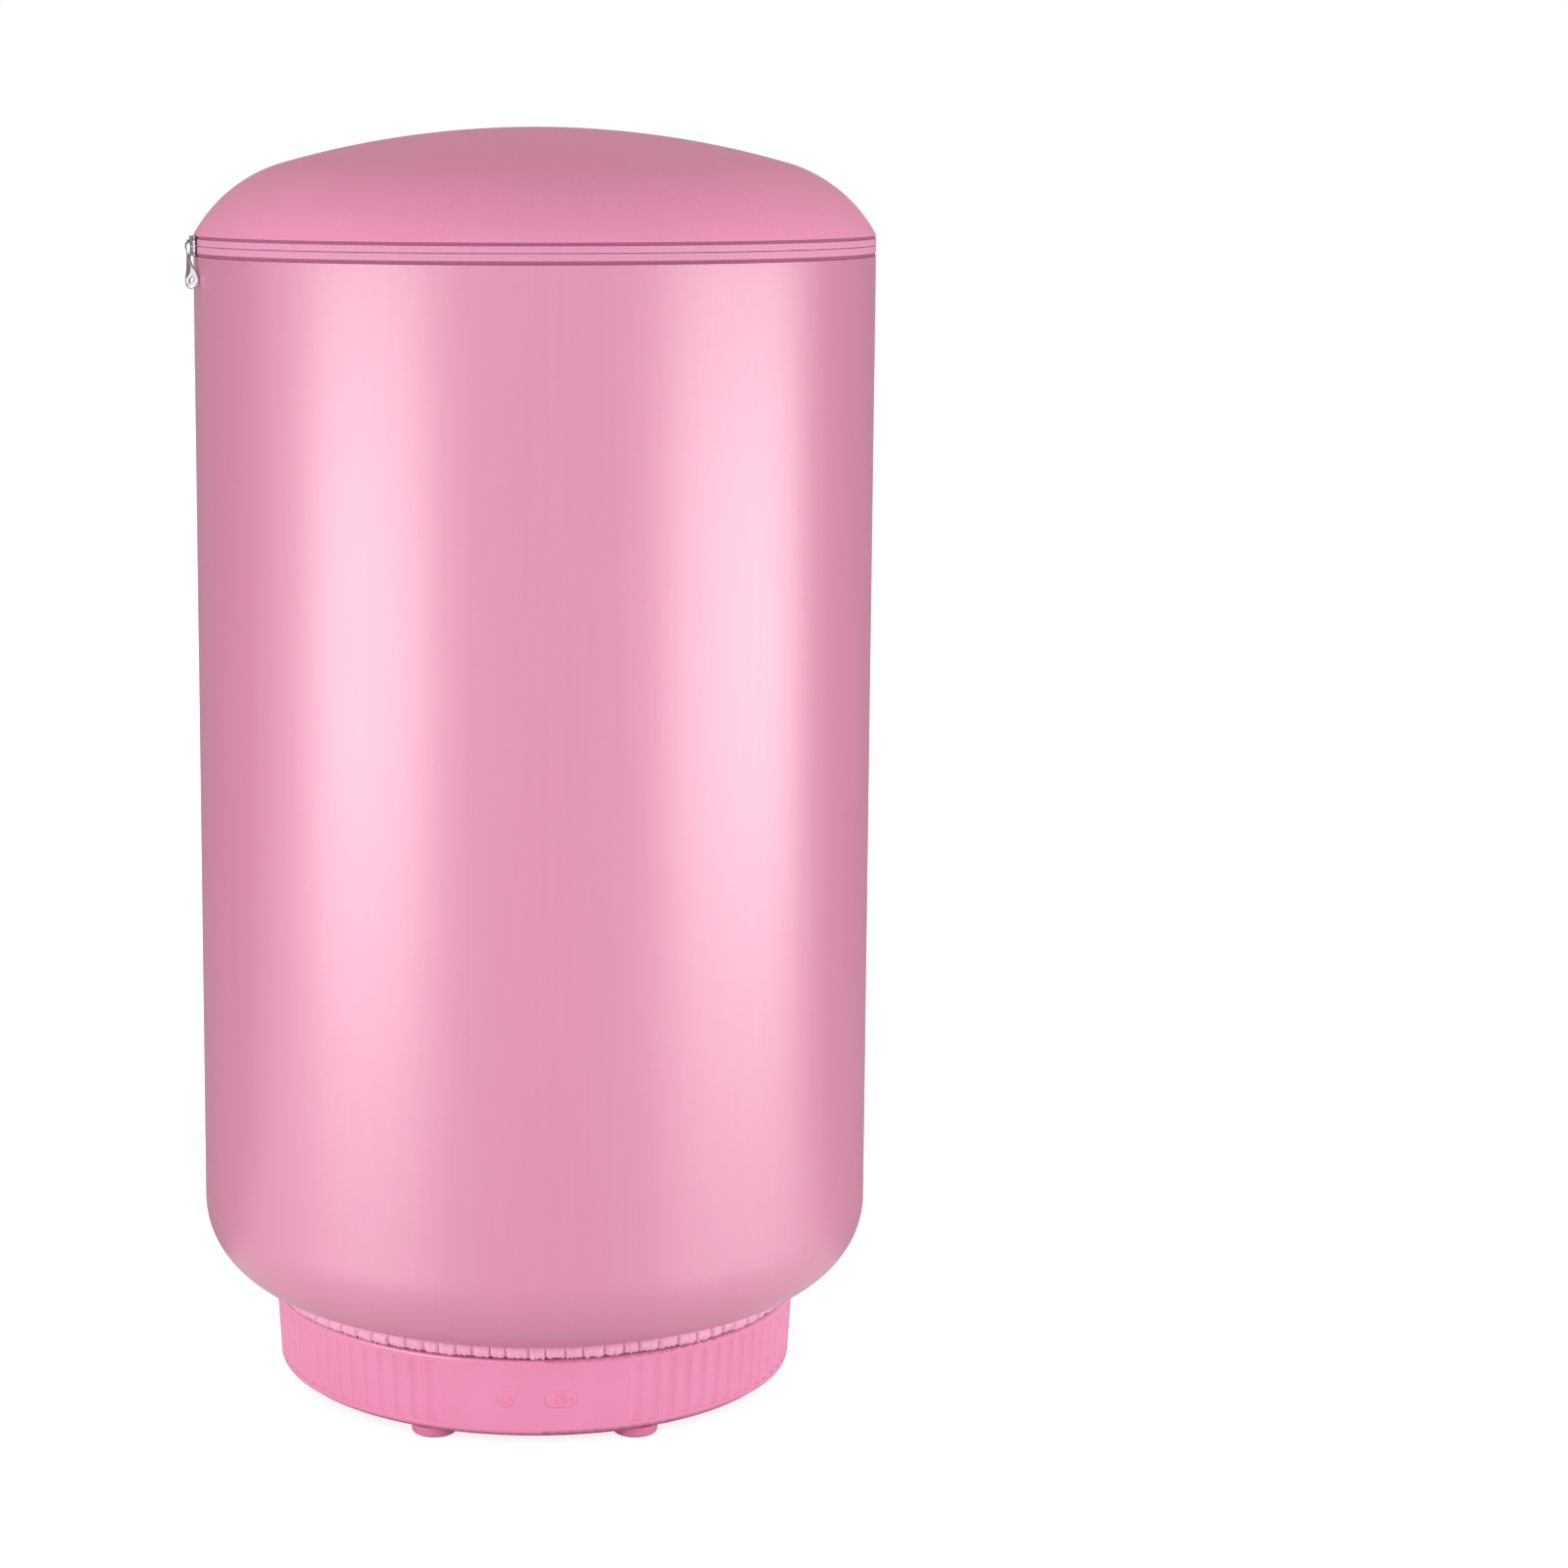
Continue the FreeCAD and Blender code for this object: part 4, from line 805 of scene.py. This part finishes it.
inside = radius - CLOTH - 0.0001
ARM_GAP = 7.0  # half the angle that a casing leaves free at an arm
top_low, top_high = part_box("top_hoop")
casing(
    "top_casing", "top_hoop", "upper_frame",
    (inside, top_high.z + 0.0008), (inside, top_low.z - 0.0045),
    [30.0 + ARM_GAP + 60.0 * number for number in range(6)], 60.0 - 2 * ARM_GAP,
)
bottom_low, bottom_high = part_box("bottom_hoop")
casing(
    "bottom_casing", "bottom_hoop", "base",
    (inside, bottom_high.z + 0.0045), (inside - 0.0002, bottom_low.z - 0.0006),
)
lid_low, lid_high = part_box("lid_hoop")
casing(
    "lid_casing", "lid_hoop", "lid",
    (lid_high.x - 0.0010, lid_high.z + 0.0016), (inside - 0.0004, lid_low.z - 0.0004),
)

# ---- Slider and pull
# Die-cast zinc, tumbled, polished and chrome plated to a mirror: two shield-shaped plates with
# turned edges, joined by a post, and a drop pull with a round hole that swings on a domed rivet.

chrome = metal("chrome_plated_zinc", "e6e7ea", 0.10)
finish_node(chrome, "zip_stops")

pull_joint = next(joint for joint in frame["joints"] if joint["name"] == "pull_swing")
outward = np.array(pull_joint["axis"]) / np.linalg.norm(pull_joint["axis"])
onward = np.array([-outward[1], outward[0], 0.0])  # along the zip, towards the front
upward = np.array([0.0, 0.0, 1.0])
PLATE = radius + 0.0021  # outer face of the slider's outer plate


def on_slider(points):
    """Points given along the zip, up, and out from the barrel's axis, put where the slider is."""
    points = np.asarray(points, float)
    return points @ np.stack([onward, upward, outward]) + ZIP * upward


def eased(points, times=3):
    """Rounds a closed outline by cutting its corners again and again."""
    points = np.asarray(points, float)
    for _ in range(times):
        after = np.roll(points, -1, axis=0)
        points = np.stack([0.75 * points + 0.25 * after, 0.25 * points + 0.75 * after], axis=1)
        points = points.reshape(-1, 2)
    return points


def circle(x, y, size):
    """The outline of a round hole."""
    turn = np.linspace(0, math.tau, 32, endpoint=False)
    return np.stack([x + size * np.cos(turn), y + size * np.sin(turn)], axis=1)


def stamped(outlines, thickness, rim):
    """Points and faces of a flat plate with rounded rims; outlines after the first are holes."""
    shape = bpy.data.curves.new("stamping", "CURVE")
    shape.dimensions, shape.fill_mode = "2D", "BOTH"
    shape.extrude, shape.bevel_depth, shape.bevel_resolution = thickness / 2 - rim, rim, 3
    shape.offset = -rim
    for outline in outlines:
        spline = shape.splines.new("POLY")
        spline.points.add(len(outline) - 1)
        spline.points.foreach_set("co", [c for x, y in outline for c in (x, y, 0.0, 1.0)])
        spline.use_cyclic_u = True
    holder = bpy.data.objects.new("stamping", shape)
    bpy.context.scene.collection.objects.link(holder)
    graph = bpy.context.evaluated_depsgraph_get()
    mesh = bpy.data.meshes.new_from_object(holder.evaluated_get(graph))
    shell = bmesh.new()
    shell.from_mesh(mesh)
    bmesh.ops.remove_doubles(shell, verts=shell.verts, dist=0.000001)
    shell.to_mesh(mesh)
    shell.free()
    points = np.array([vertex.co for vertex in mesh.vertices])
    faces = [list(face.vertices) for face in mesh.polygons]
    bpy.data.objects.remove(holder)
    bpy.data.meshes.remove(mesh)
    return points, faces


def lifted(mesh, height):
    """A stamped plate with its middle at a distance from the barrel's axis."""
    return mesh[0] + (0.0, 0.0, height), mesh[1]


def domed_rivet():
    """The rivet's shank and domed head, turned about the line out from the barrel."""
    section = [
        (0.0011, -0.0002), (0.0011, 0.0018), (0.0018, 0.0018), (0.0019, 0.0020),
        (0.0018, 0.0023), (0.0013, 0.0026), (0.0007, 0.0027), (0.0001, 0.00275),
    ]
    turn = np.linspace(0, math.tau, 32, endpoint=False)
    points = [(r * math.cos(a), r * math.sin(a), PLATE + h) for r, h in section for a in turn]
    return np.array(points), ring_faces(len(section), len(turn), capped=True)


# outlines on a plate are in metres, along the zip and up
half_shield = [
    (-0.0060, 0.0012), (-0.0060, 0.0036), (-0.0050, 0.0046), (-0.0012, 0.0046),
    (0.0022, 0.0038), (0.0050, 0.0034), (0.0061, 0.0026), (0.0061, 0.0010),
]
shield = eased(half_shield + [(x, -y) for x, y in half_shield[::-1]])
spine = eased([(-0.0048, 0.0009), (0.0048, 0.0009), (0.0048, -0.0009), (-0.0048, -0.0009)])
flange = [(-0.0045, 0.0005), (0.0040, 0.0005), (0.0040, -0.0005), (-0.0045, -0.0005)]
post = [(-0.0026, 0.0003), (0.0026, 0.0003), (0.0026, -0.0003), (-0.0026, -0.0003)]
points, faces = joined(
    lifted(stamped([shield], 0.0012, 0.00035), PLATE - 0.0006),  # outer plate
    lifted(stamped([shield], 0.0010, 0.00030), radius - 0.0024),  # inner plate
    lifted(stamped([spine], 0.0004, 0.00015), PLATE + 0.0001),
    *(  # the outer plate's turned edges
        lifted(stamped([eased(np.array(flange) + (0.0, y), 1)], 0.0009, 0.0002), PLATE - 0.0011)
        for y in (0.0040, -0.0040)
    ),
    lifted(stamped([post], 0.0042, 0.0001), radius - 0.0002),
    domed_rivet(),
)
slider = new_piece("zip_slider_body", on_slider(points), faces, [chrome], smooth=40)
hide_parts("zip_slider")
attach(slider, "slider")

half_drop = [
    (0.0, 0.0027), (-0.0016, 0.0027), (-0.0027, 0.0014), (-0.0026, -0.0010), (-0.0016, -0.0040),
    (-0.0015, -0.0075), (-0.0024, -0.0120), (-0.0036, -0.0155), (-0.0040, -0.0190),
    (-0.0028, -0.0216), (-0.0010, -0.0224),
]
drop = eased(half_drop + [(-x, y) for x, y in half_drop[:0:-1]])
points, faces = stamped(
    [drop, circle(0.0, 0.0, 0.0012), circle(0.0, -0.0180, 0.0015)], 0.0014, 0.0004
)
# below its neck the drop is twisted, so that its face turns to the front
fall = np.clip(-points[:, 1] / 0.022, 0, 1)
twist = np.radians(40.0) * np.clip((fall - 0.12) / 0.6, 0, 1) ** 1.5
across, through = points[:, 0].copy(), points[:, 2].copy()
points[:, 0] = across * np.cos(twist) + through * np.sin(twist)
points[:, 2] = through * np.cos(twist) - across * np.sin(twist)
points[:, 2] += PLATE + 0.0011 + 0.0005 * np.sin(fall * math.pi * 1.5)
# it hangs slantwise, with its tip towards the front
slant = math.radians(33.0)
across, up = points[:, 0].copy(), points[:, 1].copy()
points[:, 0] = across * math.cos(slant) - up * math.sin(slant)
points[:, 1] = across * math.sin(slant) + up * math.cos(slant)
pull = new_piece("drop_pull", on_slider(points), faces, [chrome], smooth=40)
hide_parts("pull_tab")
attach(pull, "pull")

# ---- Room
# A white table and backdrop. Two low strip lamps beside the object light the satin's two bands,
# a broad one stands above the camera, and weaker ones fill in low in front, behind and overhead.
# Grey cards beside, behind and above it show only in its gloss, and darken the barrel's edges.


def onlookers(finish):
    """Outputs that are 1 for the camera's own rays, and 1 for rays that gloss or glass sends on."""
    rays = add(finish, "LightPath")
    sent_on = add(
        finish, "Math", {0: rays["Is Glossy Ray"], 1: rays["Is Transmission Ray"]},
        operation="MAXIMUM",
    )
    return rays["Is Camera Ray"], sent_on[0]


# matt white laminate, which glows just enough for the camera to see it white
table_finish = new_finish(
    "white_table", 0.9, "cfcfcf", Specular_IOR_Level=0.0, Emission_Color=(1, 1, 1, 1)
)
camera_sees, gloss_sees = onlookers(table_finish)
glow = add(table_finish, "Math", {0: gloss_sees, 1: 0.22}, operation="MULTIPLY")[0]
glow = add(
    table_finish, "Math", {0: camera_sees, 1: 0.78, 2: glow}, operation="MULTIPLY_ADD"
)[0]
wire(table_finish, glow, "Emission Strength")
REACH = 8  # half the table's width
table = new_piece(
    "table_top",
    [(-REACH, -REACH, 0), (REACH, -REACH, 0), (REACH, REACH, 0), (-REACH, REACH, 0)],
    [[0, 1, 2, 3]], [table_finish],
)

world = bpy.data.worlds.new("studio")
bpy.context.scene.world = world
world.use_nodes = True
world.node_tree.nodes.clear()
camera_sees, gloss_sees = onlookers(world)
seen = add(world, "Math", {0: camera_sees, 1: gloss_sees}, operation="MAXIMUM")[0]
strength = add(world, "MapRange", {"Value": seen, "To Min": 0.58, "To Max": 1.0})[0]
sky = add(world, "Background", {"Color": (1, 1, 1, 1), "Strength": strength})
add(world, "OutputWorld", {"Surface": sky[0]})


def lamp(name, place, aim, width, height, radiance, mirrored=True):
    """A soft rectangular lamp; radiance 1 looks white, and gloss need not mirror it."""
    data = bpy.data.lights.new(name, "AREA")
    data.shape = "RECTANGLE"
    data.size, data.size_y = width, height
    data.energy = radiance * math.pi * width * height
    piece = bpy.data.objects.new(name, data)
    bpy.context.scene.collection.objects.link(piece)
    piece.location = place
    piece.rotation_euler = (Vector(aim) - Vector(place)).to_track_quat("-Z", "Y").to_euler()
    piece.visible_camera = False
    piece.visible_glossy = mirrored


lamp("strip_left", (-0.98, -0.73, 0.24), (0, 0, 0.24), 0.92, 0.44, 4.8)
lamp("strip_right", (1.13, -0.50, 0.24), (0, 0, 0.24), 1.14, 0.44, 4.3)
lamp("broad_front", (0.0, -2.6, 1.9), (0, 0, 0.35), 2.2, 1.4, 0.8)
lamp("low_front", (0.0, -2.2, 0.30), (0, 0, 0.05), 1.8, 0.5, 0.2, mirrored=False)
lamp("broad_back", (0.0, 2.4, 1.3), (0, 0, 0.35), 2.4, 1.4, 1.6, mirrored=False)
lamp("overhead", (0.0, 0.0, 2.6), (0, 0, 0.6), 1.0, 1.0, 0.8, mirrored=False)

# matt painted board, which gloss sees as an even grey
light_card = new_finish("light_grey_card", 1.0, "9b9b9b", Specular_IOR_Level=0.0)
dark_card = new_finish("grey_card", 1.0, "767676", Specular_IOR_Level=0.0)
CARD_FACES = ([0, 1, 2, 3], [4, 0, 1, 5], [6, 8, 2, 7], [9, 10, 11, 7])
CARD_SHADES = (0, 0, 0, 1)  # beside, on the table, behind and above
for side, name in ((-1, "left"), (1, "right")):
    corners = [
        (0.80, 0.05, 0.001), (0.40, 1.30, 0.001), (0.40, 1.30, 2.0), (0.80, 0.05, 2.0),
        (0.20, 0.05, 0.001), (0.10, 1.30, 0.001), (0.0, 1.30, 0.60), (0.0, 1.30, 2.0),
        (0.40, 1.30, 0.60), (0.0, -1.0, 2.0), (1.20, -1.0, 2.0), (1.20, 1.30, 2.0),
    ]
    card = new_piece(
        f"grey_card_{name}", [(side * x, y, z) for x, y, z in corners], CARD_FACES,
        [light_card, dark_card], CARD_SHADES,
    )
    card.visible_camera = False
    card.visible_diffuse = False
    card.visible_transmission = False
    card.visible_shadow = False

camera = bpy.data.objects.new("camera", bpy.data.cameras.new("camera"))
bpy.context.scene.collection.objects.link(camera)
bpy.context.scene.camera = camera
camera.location = (0.0, -1.669, 0.587)
camera.rotation_euler = (math.radians(90 - 8.15), 0.0, 0.0)
camera.data.sensor_width = 36.0
camera.data.lens = 80.9
camera.data.shift_x = 0.159
camera.data.shift_y = -0.08
camera.data.clip_start, camera.data.clip_end = 0.01, 50.0

bpy.context.scene.view_settings.view_transform = "Standard"
